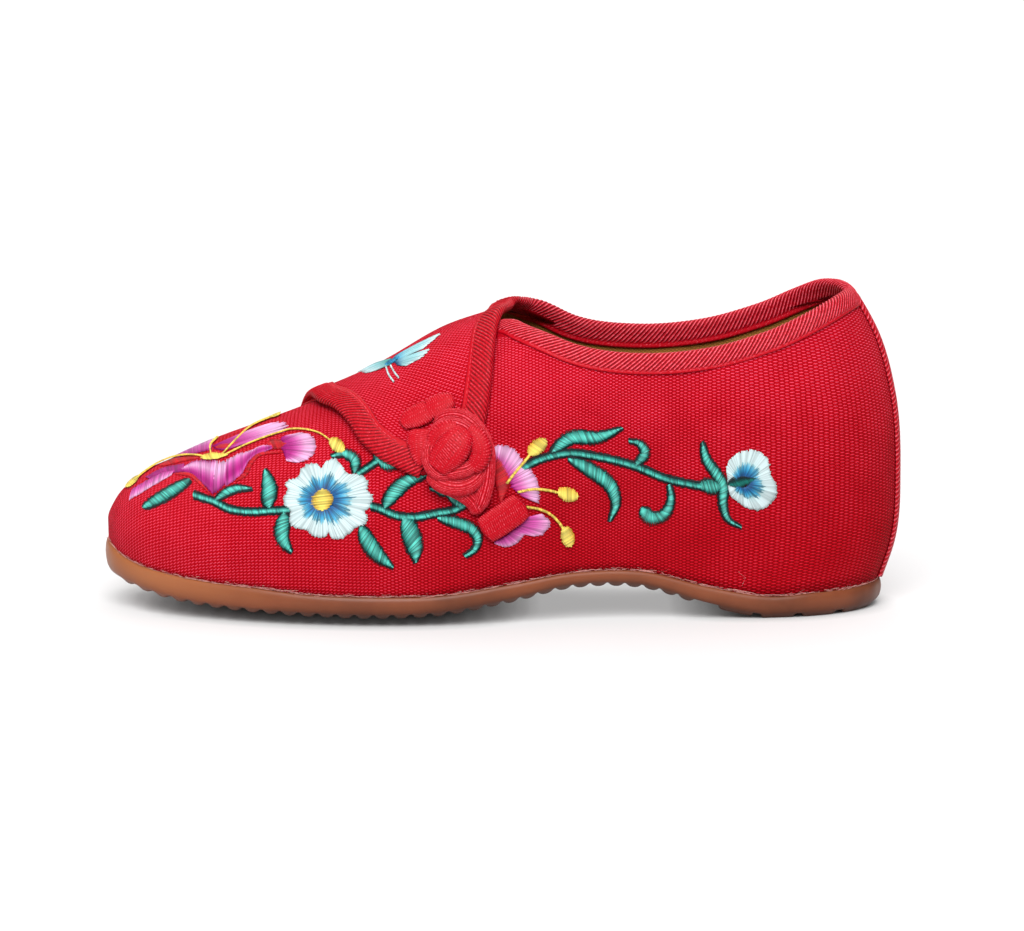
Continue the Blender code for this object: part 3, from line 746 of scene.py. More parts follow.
def make_lining():
    """Brown cotton lining with a fine weave, painted darker in its gaps as shade."""
    material, tree, shader = new_material("lining_cloth", roughness=0.9, specular=0.2)
    height, over = weave(tree, *LINING_PITCH)
    share = add(tree, multiply(tree, height, 0.7), multiply(tree, over, 0.3))
    colour = mix_node(tree, share, linear("lining_shade"), linear("lining"))
    dress(tree, shader, colour, bump_node(tree, height, 0.1 * MM, strength=0.7))
    return material


# Upper, lining and footbed

WALL_HEIGHT = 45.0 * MM
FLAT_STATION = 8.0
GIRTH_LINE = -0.45
# Grids are given as sections along the shoe and steps across it. Sections are even along a line at one turn.
SIDE_LINE = -0.6
UPPER_GRID = (300, 40)
WELD = 1e-6
LINING_GRID = (150, 24)
LINING_START = 0.8
LINING_FOOT = 0.97
LINING_GAP = 0.1 * MM
LINING_CLOTH = 0.6 * MM
FOOTBED_GRID = (140, 25)
FOOTBED_LINE = -0.9
FOOTBED_ENDS = (0.25, 18.85)
FOOTBED_GAP = 0.2 * MM
FOOTBED_INSET = LINED_WALL + 0.9 * MM
FOOTBED_DISH = 1.4 * MM
FOOTBED_EDGE = 0.8 * MM


def upper_cloth(stations, turns):
    """Cloth coordinates: rows run level along both sides, and on over the crest ahead of the throat."""
    dense = np.linspace(-1.0, 1.0, 161)
    girth = lengths(last(stations[:, None], dense), axis=1)
    crest = np.array([np.interp(0.0, dense, row) for row in girth])
    level = turn_at_height(np.maximum(stations, FLAT_STATION), -1, WALL_HEIGHT)
    beyond = np.empty(turns.shape)
    base = np.empty(len(stations))
    for place, row in enumerate(girth):
        beyond[place] = np.interp(turns[place], dense, row) - crest[place]
        base[place] = crest[place] - np.interp(level[place], dense, row)
    front = stations < FLAT_STATION
    front_base = base[~front][0]
    base[front] = front_base
    start = np.where(turns < 0.0, base[:, None], 2.0 * front_base - base[:, None])
    along = np.broadcast_to(lengths(last(stations, GIRTH_LINE))[:, None], turns.shape)
    return np.stack([along, start + WALL_HEIGHT + beyond], axis=-1)


def side_turns(stations, side, steps, foot=1.0):
    """Turns from the feather line to the top edge on the outer side, and the other way on the inner side."""
    shares = np.linspace(0.0, 1.0, steps + 1)
    edge = opening_edge(stations, side)[:, None]
    if side < 0:
        return -foot + shares * (edge + foot)
    return edge + shares * (foot - edge)


def make_upper(canvas):
    """Canvas of both sides, from the feather line to the throat and collar."""
    sections, steps = UPPER_GRID
    stations = even_stations(sections, SIDE_LINE)
    shape = Shape()
    for side in (-1, 1):
        turns = side_turns(stations, side, steps)
        shape.grid(canvas_face(stations[:, None], turns), upper_cloth(stations, turns))
    upper = shape.build("upper_canvas", canvas, weld=WELD)
    thicken(upper, CLOTH)
    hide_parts("upper")


def make_lining_piece(lining):
    """Lining just inside the canvas."""
    sections, steps = LINING_GRID
    stations = even_stations(sections, SIDE_LINE)
    stations = stations[stations > LINING_START]
    shape = Shape()
    for side in (-1, 1):
        turns = side_turns(stations, side, steps, foot=LINING_FOOT)
        places = stations[:, None]
        face = canvas_face(places, turns) - facing(last, places, turns) * (CLOTH + LINING_GAP)
        shape.grid(face, upper_cloth(stations, turns))
    piece = shape.build("lining", lining, weld=WELD)
    thicken(piece, LINING_CLOTH, even=False)


def make_insole(lining):
    """Footbed inside the upper, slightly dished, with a rounded edge."""
    sections, columns = FOOTBED_GRID
    stations = even_stations(sections, FOOTBED_LINE)
    stations = stations[(stations > FOOTBED_ENDS[0]) & (stations < FOOTBED_ENDS[1])]
    floor = section(stations)["feather"] + FOOTBED_GAP
    top = bottom(stations)["footbed"]

    def wall(side, height):
        turn = turn_at_height(stations, side, height)
        point = last(stations, turn) - facing(last, stations, turn) * FOOTBED_INSET
        point[:, 2] = height
        return point

    outer = wall(-1, top)
    inner = wall(1, top)
    shares = np.linspace(0.0, 1.0, columns)
    sheet = outer[:, None] + shares[None, :, None] * (inner - outer)[:, None]
    sheet[..., 2] -= FOOTBED_DISH * np.sin(np.pi * shares) ** 2
    sheet[:, (0, -1), 2] -= FOOTBED_EDGE
    ring = np.concatenate([sheet, wall(1, floor)[:, None], wall(-1, floor)[:, None]], axis=1)
    shape = Shape()
    shape.grid(ring, ring[..., :2], wrap=True, caps=True)
    insole = shape.build("footbed", lining)
    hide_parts("insole")


# Flap

FLAP_GRAIN = np.radians(-24.0)
FLAP_GRID = (90, 70)
FLAP_CLOTH = 1.4 * MM


def make_flap(canvas):
    """Canvas flap, with its weave turned to the flap's own grain."""
    rows = np.linspace(0.0, FLAP_TIP, FLAP_GRID[0])[:, None]
    shares = np.linspace(0.0, 1.0, FLAP_GRID[1])
    points = flap_face(rows, shares)
    down = lengths(points, axis=0)
    along = points[..., 0]
    turned = np.stack([
        along * np.cos(FLAP_GRAIN) - down * np.sin(FLAP_GRAIN),
        along * np.sin(FLAP_GRAIN) + down * np.cos(FLAP_GRAIN),
    ], axis=-1)
    shape = Shape()
    shape.grid(points, turned)
    flap = shape.build("flap_canvas", canvas)
    thicken(flap, FLAP_CLOTH)
    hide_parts("flap")


# Tape

RIB_PITCH = 1.45 * MM
RIB_LEAN = 0.9
RIB_HEIGHT = 0.26 * MM
RIB_MIDDLE = 0.6
# Tints of the selvage's chain: painted shade between its loops rising to painted highlight on them.
CHAIN_TONES = (0.05, 0.8)
SELVAGE_PITCH = 0.95 * MM
TAPE_STEP = 0.2 * MM
# Width over which a painted shadow line darkens the tape's lower edge.
TAPE_EDGE_SHADOW = 0.7 * MM
# Section of the folded tape, in millimetres: lift off the cloth, depth from its edge, and share of rib.
TAPE_PROFILE = np.array((
    (0.08, 6.5, 0.0), (0.55, 6.35, 0.0), (0.70, 5.95, 0.2), (0.46, 5.45, 0.0), (0.82, 4.9, 0.9),
    (0.95, 3.6, 1.0), (0.98, 1.8, 1.0), (0.86, 0.3, 1.0), (0.35, -0.9, 1.0), (-0.9, -1.3, 1.0),
    (-2.15, -0.9, 1.0), (-2.62, 0.3, 1.0), (-2.70, 2.2, 1.0), (-2.66, 4.2, 0.9), (-2.40, 4.75, 0.0),
    (-2.66, 5.3, 0.2), (-2.60, 6.0, 0.2), (-2.10, 6.3, 0.0),
))
TAPE_RETURN = np.array(((-1.95, 3.0, 0.0), (-1.95, 0.0, 0.0), (0.02, 0.0, 0.0), (0.02, 3.2, 0.0)))
TAPE_COLUMNS = 34
# Depth of the stitched groove in that section, in millimetres.
TAPE_GROOVE = 5.45
# Way of the collar tape: side, first and last station, sections. Then the flap's edges by row and sections.
COLLAR_RUNS = ((-1, 7.0, 16.0, 60), (-1, 16.15, 19.0, 18), (1, 18.85, 16.0, 18), (1, 15.8, 10.35, 34))
FLAP_REAR_RUN = (1.7, 8.6, 28)
FLAP_FRONT_RUN = (8.9, 0.08, 36)
# How much closer the back of the tape lies on the flap, in millimetres, and the tone of that tape.
FLAP_TAPE_RISE = 0.55
FLAP_TAPE_TONE = 0.78
COLLAR_TAPE_REACH = 0.8
HUMP_RISE = 1.3 * MM
HUMP_REACH = 14.0 * MM


def tape_profile(columns):
    """The tape's section with more points on its ribbed face."""
    distance = lengths(TAPE_PROFILE[:, :2])
    fine = smooth(distance, TAPE_PROFILE, np.linspace(0.0, distance[-1], columns))
    return np.concatenate([fine, TAPE_RETURN])


def tape_sections(surface, first, second, profile, squeeze=0.0, reach=1.0):
    """Sections of the tape at places along an edge, with the cloth to the right of the way along it."""
    base = surface(first, second)
    way = unit(np.gradient(base, axis=0))
    normal = facing(surface, first, second)
    inward = unit(np.cross(way, normal))
    columns = []
    for lift, depth, _ in profile:
        raised = (lift + squeeze * (lift < -1.0)) * MM
        if depth > 0.0:
            span = depth * (reach if lift > 0.0 else 1.0) * MM
            there = walk(surface, first, second, inward, span)
            columns.append(surface(*there) + facing(surface, *there) * raised)
        else:
            columns.append(base + inward * depth * MM + normal * raised)
    return np.stack(columns, axis=1)


def tape_piece(name, coarse, tones, profile, material, nodes):
    """Fine ribbed tape through coarse sections with their tones, each row of points along a leaning rib."""
    distance = lengths(coarse.mean(axis=1))
    across = lengths(profile[:, :2]) * MM
    shift = RIB_LEAN * across
    along = np.arange(-shift[-1], distance[-1], TAPE_STEP)
    columns = []
    for column, offset in enumerate(shift):
        place = np.clip(along + offset, 0.0, distance[-1])
        columns.append(smooth(distance, coarse[:, column], place))
    points = np.stack(columns, axis=1)
    ridge = np.abs(np.sin(np.pi * along / RIB_PITCH))[:, None]
    share = np.clip(profile[:, 2], 0.0, 1.0)[None, :]
    raised = RIB_HEIGHT * share * (ridge - RIB_MIDDLE)
    points = points + grid_normals(points) * raised[..., None]
    place = along[:, None] + shift[None, :]
    chain = CHAIN_TONES[0] + CHAIN_TONES[1] * np.abs(np.sin(np.pi * place / SELVAGE_PITCH))
    # Painted shadow line along the tape's lower edge.
    edge_shadow = np.clip(across / TAPE_EDGE_SHADOW, 0.0, 1.0)[None, :]
    tone = np.interp(place, distance, tones)
    # Painted highlights on the rib crests and the selvage's loops, painted shade in the grooves between them.
    tint = (tone * edge_shadow * (share * ridge**3 + (1.0 - share) * chain))[..., None]
    shape = Shape()
    shape.grid(points, tint=tint, wrap=True, caps=True)
    piece = shape.build(name, material)
    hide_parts(*nodes)


def make_tapes(tape):
    """Collar tape, which runs on over the hump into the flap's rear edge, and the flap's front tape."""
    profile = tape_profile(TAPE_COLUMNS)
    stations = np.concatenate([np.linspace(*run) for _, *run in COLLAR_RUNS])
    turns = np.concatenate([opening_edge(np.linspace(*run), side) for side, *run in COLLAR_RUNS])
    collar = tape_sections(last, stations, turns, profile, reach=COLLAR_TAPE_REACH)
    rear = np.linspace(*FLAP_REAR_RUN)
    over = tape_sections(flap_face, rear, np.ones(len(rear)), profile, FLAP_TAPE_RISE)
    bridge = 0.5 * (collar[-1:] + over[:1])
    sections = np.concatenate([collar, bridge, over])
    distance = lengths(sections.mean(axis=1))
    sections[..., 2] += HUMP_RISE * np.exp(-((distance - distance[len(collar)]) / HUMP_REACH) ** 2)[:, None]
    tones = np.where(np.arange(len(sections)) > len(collar), FLAP_TAPE_TONE, 1.0)
    tape_piece("collar_tape", sections, tones, profile, tape, ("collar_binding", "flap_rear_binding"))
    front = np.linspace(*FLAP_FRONT_RUN)
    ahead = tape_sections(flap_face, front, np.zeros(len(front)), profile, FLAP_TAPE_RISE)
    tones = np.full(len(ahead), FLAP_TAPE_TONE)
    tape_piece("flap_front_tape", ahead, tones, profile, tape, ("flap_front_binding",))


# Back stay: heights of its ends in millimetres, its reach to each side in stations, its rows and columns.
STAY_TOP = 95.5
STAY_FOOT = 8.8
STAY_REACH = 0.95
STAY_ROWS = 420
STAY_COLUMNS = 27
STAY_BACK = 5
STAY_HALF = 5.0 * MM
STAY_LEAN = 0.6
# Lift of the stay's middle, how much lower its edges lie, and lift of its back, in millimetres.
STAY_LIFTS = (1.15, 0.75, 0.05)


def make_back_stay(tape):
    """Ribbed strip over the back seam."""
    heights = np.linspace(STAY_TOP, STAY_FOOT, STAY_ROWS)
    front = np.linspace(-1.0, 1.0, STAY_COLUMNS)
    spread = np.concatenate([front, np.linspace(0.9, -0.9, STAY_BACK)])
    middle, drop, back = STAY_LIFTS
    lift = np.concatenate([middle - drop * np.abs(front) ** 6, np.full(STAY_BACK, back)]) * MM
    columns = []
    for place, rise in zip(spread, lift):
        station = np.full(len(heights), HEEL_STATION - STAY_REACH * abs(place))
        turn = turn_at_height(station, 1 if place > 0 else -1, heights * MM)
        columns.append(last(station, turn) + facing(last, station, turn) * rise)
    points = np.stack(columns, axis=1)
    along = (heights[0] - heights)[:, None] * MM
    across = spread[None, :] * STAY_HALF
    ridge = np.abs(np.sin(np.pi * (along + STAY_LEAN * across) / RIB_PITCH))
    face = (np.arange(len(spread)) < STAY_COLUMNS)[None, :] * 1.0
    raised = RIB_HEIGHT * face * (ridge - RIB_MIDDLE)
    points = points + grid_normals(points) * raised[..., None]
    shape = Shape()
    # Painted highlights on the stay's rib crests and painted shade in its grooves.
    shape.grid(points, tint=(face * ridge**2)[..., None], wrap=True, caps=True)
    stay = shape.build("back_stay_tape", tape)
    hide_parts("back_stay")


# Outsole

# Ribs and heel lugs, in millimetres: first, count, pitch, gap between them, depth, and how square they are.
TREAD_ZONES = (
    (-119.0, 19, 5.70, 0.5, 1.25, 2.4),
    (-10.7, 13, 5.30, 0.5, 1.0, 2.4),
    (64.3, 4, 12.90, 2.0, 1.4, 14.0),
)
# Side of the sole from its top edge down: share of the height and how far it stands out, in millimetres.
WALL_PROFILE = (
    (0.0, -0.9), (0.0, 0.15), (0.07, 0.55), (0.22, 0.85), (0.45, 1.0), (0.7, 0.85), (0.9, 0.5), (1.0, 0.1),
)
# Underside from the outer to the inner side: share of the width, and share of the crown.
UNDERSIDE = (
    (0.03, 0.1), (0.08, 0.3), (0.15, 0.55), (0.32, 1.0), (0.5, 1.0), (0.68, 1.0), (0.85, 0.55), (0.92, 0.3),
    (0.97, 0.1),
)
RIB_DEPTH = 1.3 * MM
SOLE_SECTIONS = 820
SOLE_GAP = 0.1 * MM
SOLE_WELD = 2e-5
RIB_INSET = 1.1 * MM
RIB_SHOW = 1.3 * MM
# Tint of the rib crests and how much the wall darkens towards its foot: both painted shade.
RIB_SHADE_TONE = 0.22
WALL_SHADE = 0.6


def outline(station, side, offset):
    """Point of the sole's outline in plan, moved outward by an offset."""
    def plan(place):
        part = section(place)
        edge = part["lateral"] if side < 0 else part["medial"]
        return np.stack([part["along"] - MIDDLE_ALONG, edge - MIDDLE_ACROSS], axis=-1)

    way = unit(plan(np.minimum(station + STEP, HEEL_STATION)) - plan(np.maximum(station - STEP, 0.0)))
    out = np.stack([way[..., 1], -way[..., 0]], axis=-1) * -side
    return plan(station) + out * offset


def tread_height(along):
    """How far the underside lies above the ribs' crests: rounded ribs with narrow grooves, flat heel lugs."""
    groove = np.full(along.shape, RIB_DEPTH)
    for first, count, pitch, gap, depth, power in TREAD_ZONES:
        place = (along / MM - first) / pitch
        inside = (place >= 0.0) & (place < count)
        across = np.abs((place % 1.0) - 0.5) * 2.0 / (1.0 - gap / pitch)
        shape = depth * MM * np.clip(across, 0.0, 1.0) ** power
        groove = np.where(inside, shape, groove)
    return groove


def sole_wall(stations, side, top, low, foot):
    """One side of the sole, from its top edge down to the foot of its ribs."""
    wall = []
    for share, out in WALL_PROFILE:
        wall.append(np.c_[outline(stations, side, out * MM), top - share * (top - low)])
    wall.append(np.c_[outline(stations, side, -RIB_INSET), foot])
    return wall


def make_outsole(rubber):
    """Moulded sole: two side walls with the ribbed underside between them."""
    stations = even_stations(SOLE_SECTIONS, -1.0)
    part = section(stations)
    levels = bottom(stations)
    top = part["feather"] - SOLE_GAP
    edge = np.maximum(levels["edge"], 0.0)
    groove = tread_height(part["along"])
    walls = [sole_wall(stations, side, top, edge + RIB_SHOW, edge + groove) for side in (-1, 1)]
    underside = []
    outer = walls[0][-1]
    inner = walls[1][-1]
    for share, crown in UNDERSIDE:
        point = outer + share * (inner - outer)
        point[:, 2] = np.maximum(point[:, 2] - levels["crown"] * crown, groove)
        underside.append(point)
    ring = walls[0] + underside + walls[1][::-1]
    # Painted shade: the wall darkens towards its foot, and the ribs and underside are darker still.
    crests = RIB_SHADE_TONE * (1.0 - np.clip(groove / RIB_DEPTH, 0.0, 1.0))
    wall_tones = [np.full(len(stations), 1.0 - WALL_SHADE * share**3) for share, _ in WALL_PROFILE]
    wall_tones.append(crests)
    tones = wall_tones + [crests] * len(UNDERSIDE) + wall_tones[::-1]
    shape = Shape()
    shape.grid(np.stack(ring, axis=1)[:, ::-1], tint=np.stack(tones, axis=1)[:, ::-1, None], wrap=True)
    sole = shape.build("rubber_sole", rubber, weld=SOLE_WELD)
    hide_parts("outsole")


# Threads

THREAD_PROFILE = np.array(((-1.0, -0.15), (-0.62, 0.72), (0.0, 1.0), (0.62, 0.72), (1.0, -0.15)))
STITCH_PITCH = 0.36 * MM
STITCH_WIDTH = 0.44 * MM
STITCH_RISE = 0.22 * MM
# Rise of a thread's middle. This and all lifts of threads are in millimetres.
STITCH_CROWN = 0.2
# Shares of its width and rise that a thread keeps at its ends.
END_WIDTH = 0.45
END_RISE = 0.4
STITCH_SHADES = (0.58, 1.22)
LEAF_SHADES = (0.34, 1.28)
PETAL_SHADES = (0.56, 1.22)
WHITE_SHADES = (0.62, 1.1)
BLUE_SHADES = (0.3, 1.2)
# Dark rim under each satin, painted shade along its edges: how far it reaches out in pixels and how much
# lower it lies, in millimetres.
SHADE_RIM_PIXELS = 2.0
SHADE_RIM_DROP = 0.16
NARROWEST = 0.12
FEWEST_THREADS = 6
FAN_WIDTH = 1.15


def curve(points, count):
    """Even points along a smooth line through a few given ones."""
    points = np.asarray(points, float)
    if len(points) < 3:
        return points[0] + np.linspace(0.0, 1.0, count)[:, None] * (points[-1] - points[0])
    distance = lengths(points)
    return smooth(distance, points, np.linspace(0.0, distance[-1], count))


def cloth_length(cloth, points):
    """Length on the cloth of a line of pixels."""
    line, _ = cloth.points(curve(points, 16))
    return lengths(line)[-1]


def lay_threads(shape, cloth, start, end, tones, lift=0.0, width=1.0, samples=8, jitter=0.0,
                shades=STITCH_SHADES):
    """Stitch threads from start to end pixels, coloured along their length by named tones."""
    share = np.linspace(0.0, 1.0, samples)
    shake = RANDOM.normal(0.0, 0.5, (2, len(start), 1)) * jitter
    reach = end - start
    start = start - reach * shake[0]
    end = end + reach * shake[1]
    pixels = start[:, None] + share[None, :, None] * (end - start)[:, None]
    base, normal = cloth.points(pixels)
    way = unit(np.gradient(base, axis=1))
    side = unit(np.cross(normal, way))
    swell = np.sin(np.pi * np.clip(share, 0.02, 0.98)) ** 0.5
    half = STITCH_WIDTH * 0.5 * width * (END_WIDTH + (1.0 - END_WIDTH) * swell)
    rise = STITCH_RISE * (END_RISE + (1.0 - END_RISE) * swell)
    raised = (lift + STITCH_CROWN * swell) * MM
    rings = []
    for out, up in THREAD_PROFILE:
        rings.append(base + side * (out * half)[None, :, None] + normal * (raised + up * rise)[None, :, None])
    stops = np.array([linear(tone) for tone in tones])
    places = np.linspace(0.0, 1.0, len(stops))
    paint = np.stack([np.interp(share, places, band) for band in stops.T], axis=-1)
    shade = RANDOM.uniform(*shades, (len(start), 1, 1))
    tint = np.clip(paint[None] * shade, 0.0, 1.0)[:, :, None, :]
    shape.grid(np.stack(rings, axis=2), tint=tint, wrap=True, caps=True)


def leaf_width(share, kind):
    """Half width of a leaf, curl, comma, bud or stem along its length, from 0 to 1."""
    share = np.clip(share, 0.0, 1.0)
    if kind == "leaf":
        return np.sin(np.pi * share**0.75) ** 0.75
    if kind == "curl":
        return 0.25 + 0.75 * np.sin(np.pi * np.maximum(share, 0.03) ** 1.5) ** 0.8
    if kind == "comma":
        return np.minimum(0.25 + 0.9 * share, np.sqrt((1.0 - share) / 0.16))
    if kind == "bud":
        return np.maximum(np.sin(np.pi * share), 0.0) ** 0.4
    return np.full(np.shape(share), 1.0)


def satin(shape, cloth, points, half, kind, tones, lift=0.15, slant=0.35, rim=None, shades=STITCH_SHADES):
    """Satin stitches across a line of pixels, over a slightly wider dark layer of painted shade where a rim
    is named.
    """
    layers = [(0.0, tones, lift)]
    if rim:
        layers.insert(0, (SHADE_RIM_PIXELS, (rim, rim), lift - SHADE_RIM_DROP))
    count = max(FEWEST_THREADS, int(cloth_length(cloth, points) / STITCH_PITCH))
    spine = curve(points, count)
    way = unit(np.gradient(spine, axis=0))
    side = np.stack([-way[:, 1], way[:, 0]], axis=-1)
    width = half * np.maximum(leaf_width(np.linspace(0.0, 1.0, count), kind), NARROWEST)
    for margin, colours, raise_by in layers:
        wide = (width + margin)[:, None]
        lean = way * slant * wide
        lay_threads(shape, cloth, spine - side * wide - lean, spine + side * wide + lean, colours, raise_by,
                    samples=6, jitter=0.06, shades=shades)


def fan(shape, cloth, inner, outer, tones, lift=0.1, jitter=0.06):
    """Threads from an inner line of pixels to an outer one, as in a petal."""
    span = max(cloth_length(cloth, inner), cloth_length(cloth, outer))
    count = max(FEWEST_THREADS, int(span / STITCH_PITCH))
    lay_threads(shape, cloth, curve(inner, count), curve(outer, count), tones, lift, width=FAN_WIDTH,
                jitter=jitter, shades=PETAL_SHADES)


# Greens, in pixels: kind, half width, then the line from base to tip.
GREENS = (
    ("bud", 5.0, ((144, 508), (166, 495), (190, 480))),
    ("stem", 2.7, ((194, 495), (203, 498), (213, 501), (229, 509), (250, 512), (270, 511), (289, 510))),
    ("leaf", 3.4, ((216, 501), (226, 493), (236, 489), (252, 489))),
    ("leaf", 7.0, ((270, 508), (269, 490), (265, 470))),
    ("leaf", 6.8, ((284, 513), (282, 528), (284, 540), (292, 552))),
    ("curl", 4.6, ((332, 457), (345, 454), (355, 460), (355, 473))),
    ("stem", 2.4, ((358, 474), (369, 467), (378, 461))),
    ("leaf", 4.5, ((379, 462), (378, 454), (374, 446))),
    ("leaf", 4.0, ((378, 461), (388, 466), (399, 464))),
    ("stem", 2.9, ((371, 506), (381, 509), (394, 515), (416, 517), (438, 513), (454, 510), (468, 502))),
    ("leaf", 6.6, ((385, 508), (395, 492), (407, 481), (426, 476))),
    ("leaf", 9.0, ((403, 519), (410, 533), (416, 548), (416, 562))),
    ("leaf", 7.2, ((360, 527), (366, 539), (375, 551), (393, 567))),
    ("curl", 5.0, ((465, 556), (474, 550), (478, 539), (473, 530), (457, 523), (438, 518))),
    ("leaf", 3.4, ((464, 508), (454, 500), (446, 494))),
    ("leaf", 3.0, ((445, 494), (438, 490), (430, 489))),
    ("stem", 2.9, (
        (523, 468), (536, 461), (551, 456), (569, 453), (594, 456), (635, 466), (667, 479), (702, 486))),
    ("leaf", 6.0, ((552, 452), (572, 438), (598, 437), (622, 428))),
    ("leaf", 6.2, ((568, 459), (590, 470), (612, 488), (616, 504), (610, 521))),
    ("curl", 4.2, ((629, 441), (640, 444), (645, 452), (636, 465))),
    ("comma", 6.2, ((669, 485), (671, 496), (669, 507), (662, 516), (653, 518), (645, 514), (641, 508))),
    ("bud", 7.0, ((700, 486), (710, 486), (720, 486))),
    ("leaf", 4.4, ((702, 442), (706, 459), (715, 472), (723, 485), (723, 503), (728, 519), (741, 527))),
)


def make_greens(silk):
    """Leaves, buds, curls and stems, each over a dark rim of painted shade."""
    shape = Shape()
    for kind, half, points in GREENS:
        tones = ("teal", "mint", "teal") if kind != "stem" else ("pine", "teal", "mint", "teal")
        slant = 0.5 if kind == "leaf" else 0.3
        satin(shape, UPPER, points, half, kind, tones, lift=0.22, slant=slant, rim="pine", shades=LEAF_SHADES)
    shape.build("embroidered_leaves", silk)


# Stamens, in pixels: half width, line from the flower outward, then the anther's two ends and half width.
STAMENS = (
    (0.6, ((208, 458), (196, 456), (184, 456), (167, 460), (146, 472), (134, 482)),
     ((127, 488), (139, 477), 2.8)),
    (0.8, ((212, 457), (211, 446), (218, 438)), None),
    (0.7, ((223, 455), (239, 438), (250, 428), (276, 416)), ((272, 418), (281, 414), 1.6)),
    (0.7, ((225, 456), (250, 444), (277, 434), (291, 430), (303, 430), (320, 434), (332, 442)),
     ((330, 441), (345, 451), 6.4)),
    (1.4, ((507, 483), (517, 470), (524, 462), (531, 453)), ((529, 455), (545, 439), 7.2)),
    (1.4, ((518, 492), (534, 489), (547, 490), (560, 493)), ((557, 492), (578, 496), 7.0)),
    (1.4, ((527, 507), (539, 509), (550, 514), (560, 524), (565, 532)), ((564, 527), (571, 546), 6.8)),
)
STAMEN_HEART = ((202, 459), (214, 457), (228, 456))


def make_stamens(silk):
    """Gold stamens with their anthers."""
    shape = Shape()
    for half, points, anther in STAMENS:
        satin(shape, UPPER, points, half, "stem", ("gold", "lemon", "gold"), lift=0.4)
        if anther:
            base, tip, wide = anther
            satin(shape, UPPER, (base, tip), wide, "bud", ("gold", "lemon", "lemon"), lift=0.45, slant=0.2)
    satin(shape, UPPER, STAMEN_HEART, 3.4, "leaf", ("gold", "lemon"), lift=0.45)
    shape.build("embroidered_stamens", silk)


# Petals of the pink flowers, in pixels: inner line, outer line, and tones between them.
PINK_PETALS = (
    (((146, 477), (161, 469), (184, 464)), ((150, 479), (160, 475), (184, 472)), ("magenta", "magenta")),
    (((133, 489), (150, 479), (167, 471), (175, 470)), ((130, 500), (142, 493), (155, 485), (171, 476)),
     ("magenta", "pink", "blush")),
    (((182, 468), (196, 461), (208, 461), (216, 461)), ((184, 472), (192, 474), (200, 481), (213, 494)),
     ("pink", "blush", "pink", "magenta", "magenta")),
    (((216, 461), (221, 462), (226, 462)), ((213, 494), (219, 490), (225, 485)),
     ("blush", "blush", "pink", "magenta")),
    (((227, 460), (237, 455), (250, 451), (262, 446), (271, 445)),
     ((226, 486), (233, 482), (241, 475), (250, 460), (272, 449)),
     ("blush", "pink", "magenta", "magenta", "pink")),
    (((281, 438), (282, 447), (286, 458)),
     ((291, 435), (303, 433), (314, 438), (316, 447), (311, 457), (299, 462), (287, 461)),
     ("magenta", "magenta", "pink", "blush", "blush")),
    (((214, 446), (218, 448), (222, 450)), ((262, 426), (277, 423), (287, 425), (286, 430), (274, 434)),
     ("magenta", "magenta", "pink", "blush", "blush")),
    (((222, 450), (226, 450), (231, 449)), ((274, 434), (264, 438), (250, 442)), ("magenta", "pink", "pink")),
    (((177, 458), (194, 454), (211, 450)), ((173, 455), (194, 446), (213, 439)),
     ("magenta", "pink", "blush")),
    (((493, 460), (500, 468), (506, 477)), ((490, 448), (500, 445), (512, 448), (522, 459)),
     ("magenta", "pink", "blush", "blush")),
    (((506, 474), (513, 488), (522, 496)), ((522, 459), (534, 474), (539, 486), (539, 503)),
     ("magenta", "pink", "blush", "blush")),
    (((526, 518), (519, 526), (512, 531)), ((543, 514), (550, 522), (548, 530), (534, 536), (525, 534)),
     ("magenta", "pink", "blush")),
    (((512, 531), (505, 536), (495, 541)), ((525, 534), (517, 543), (507, 547), (495, 544)),
     ("magenta", "pink", "blush")),
)
# Red satin in the flowers, in pixels: half width and line.
RED_SATIN = (
    (2.4, ((160, 466), (180, 460), (200, 458))),
    (2.0, ((236, 482), (247, 473), (250, 465), (256, 457), (283, 452))),
    (5.0, ((268, 445), (277, 444), (286, 444))),
    (3.0, ((216, 448), (228, 446), (240, 443))),
    (1.8, ((176, 474), (190, 475), (202, 485), (212, 496))),
    (8.5, ((496, 456), (501, 470), (503, 486), (501, 503))),
)


def make_pink_flowers(silk):
    """Pink petals in long threads over their red satin."""
    shape = Shape()
    for half, points in RED_SATIN:
        satin(shape, UPPER, points, half, "leaf", ("crimson", "crimson"), lift=0.1)
    for inner, outer, tones in PINK_PETALS:
        fan(shape, UPPER, inner, outer, tones)
    shape.build("embroidered_pink_flowers", silk)


# White flowers, in pixels: the scalloped rims, their hearts and how far the blue threads reach.
WHITE_HEART = np.array((322.7, 500.4))
WHITE_OUTLINE = (
    (301, 469), (309, 464), (318, 465), (321, 468), (326, 462), (334, 459), (341, 464), (345, 470),
    (348, 474), (357, 474), (366, 478), (368, 486), (367, 489), (372, 495), (373, 502), (368, 509),
    (366, 511), (368, 518), (364, 525), (357, 527), (354, 528), (350, 533), (341, 539), (332, 538),
    (329, 533), (325, 537), (316, 537), (308, 532), (305, 529), (297, 529), (290, 523), (290, 515),
    (291, 512), (285, 506), (284, 499), (287, 491), (288, 489), (285, 484), (288, 480), (294, 478),
    (299, 475),
)
WHITE_BLUE = (0.52, 0.72)
WHITE_EYE = 10.6
BUD_HEART = np.array((742.0, 483.0))
BUD_OUTLINE = (
    (727, 475), (726, 468), (728, 462), (736, 454), (747, 450), (757, 451), (765, 456), (769, 463),
    (770, 473), (775, 481), (777, 489), (774, 500), (766, 507), (757, 510), (747, 508), (738, 502),
    (730, 495), (728, 489),
)
BUD_BLUE = (0.5, 0.7)
BUD_CALYX = ((728, 484), (741, 481), (755, 478))
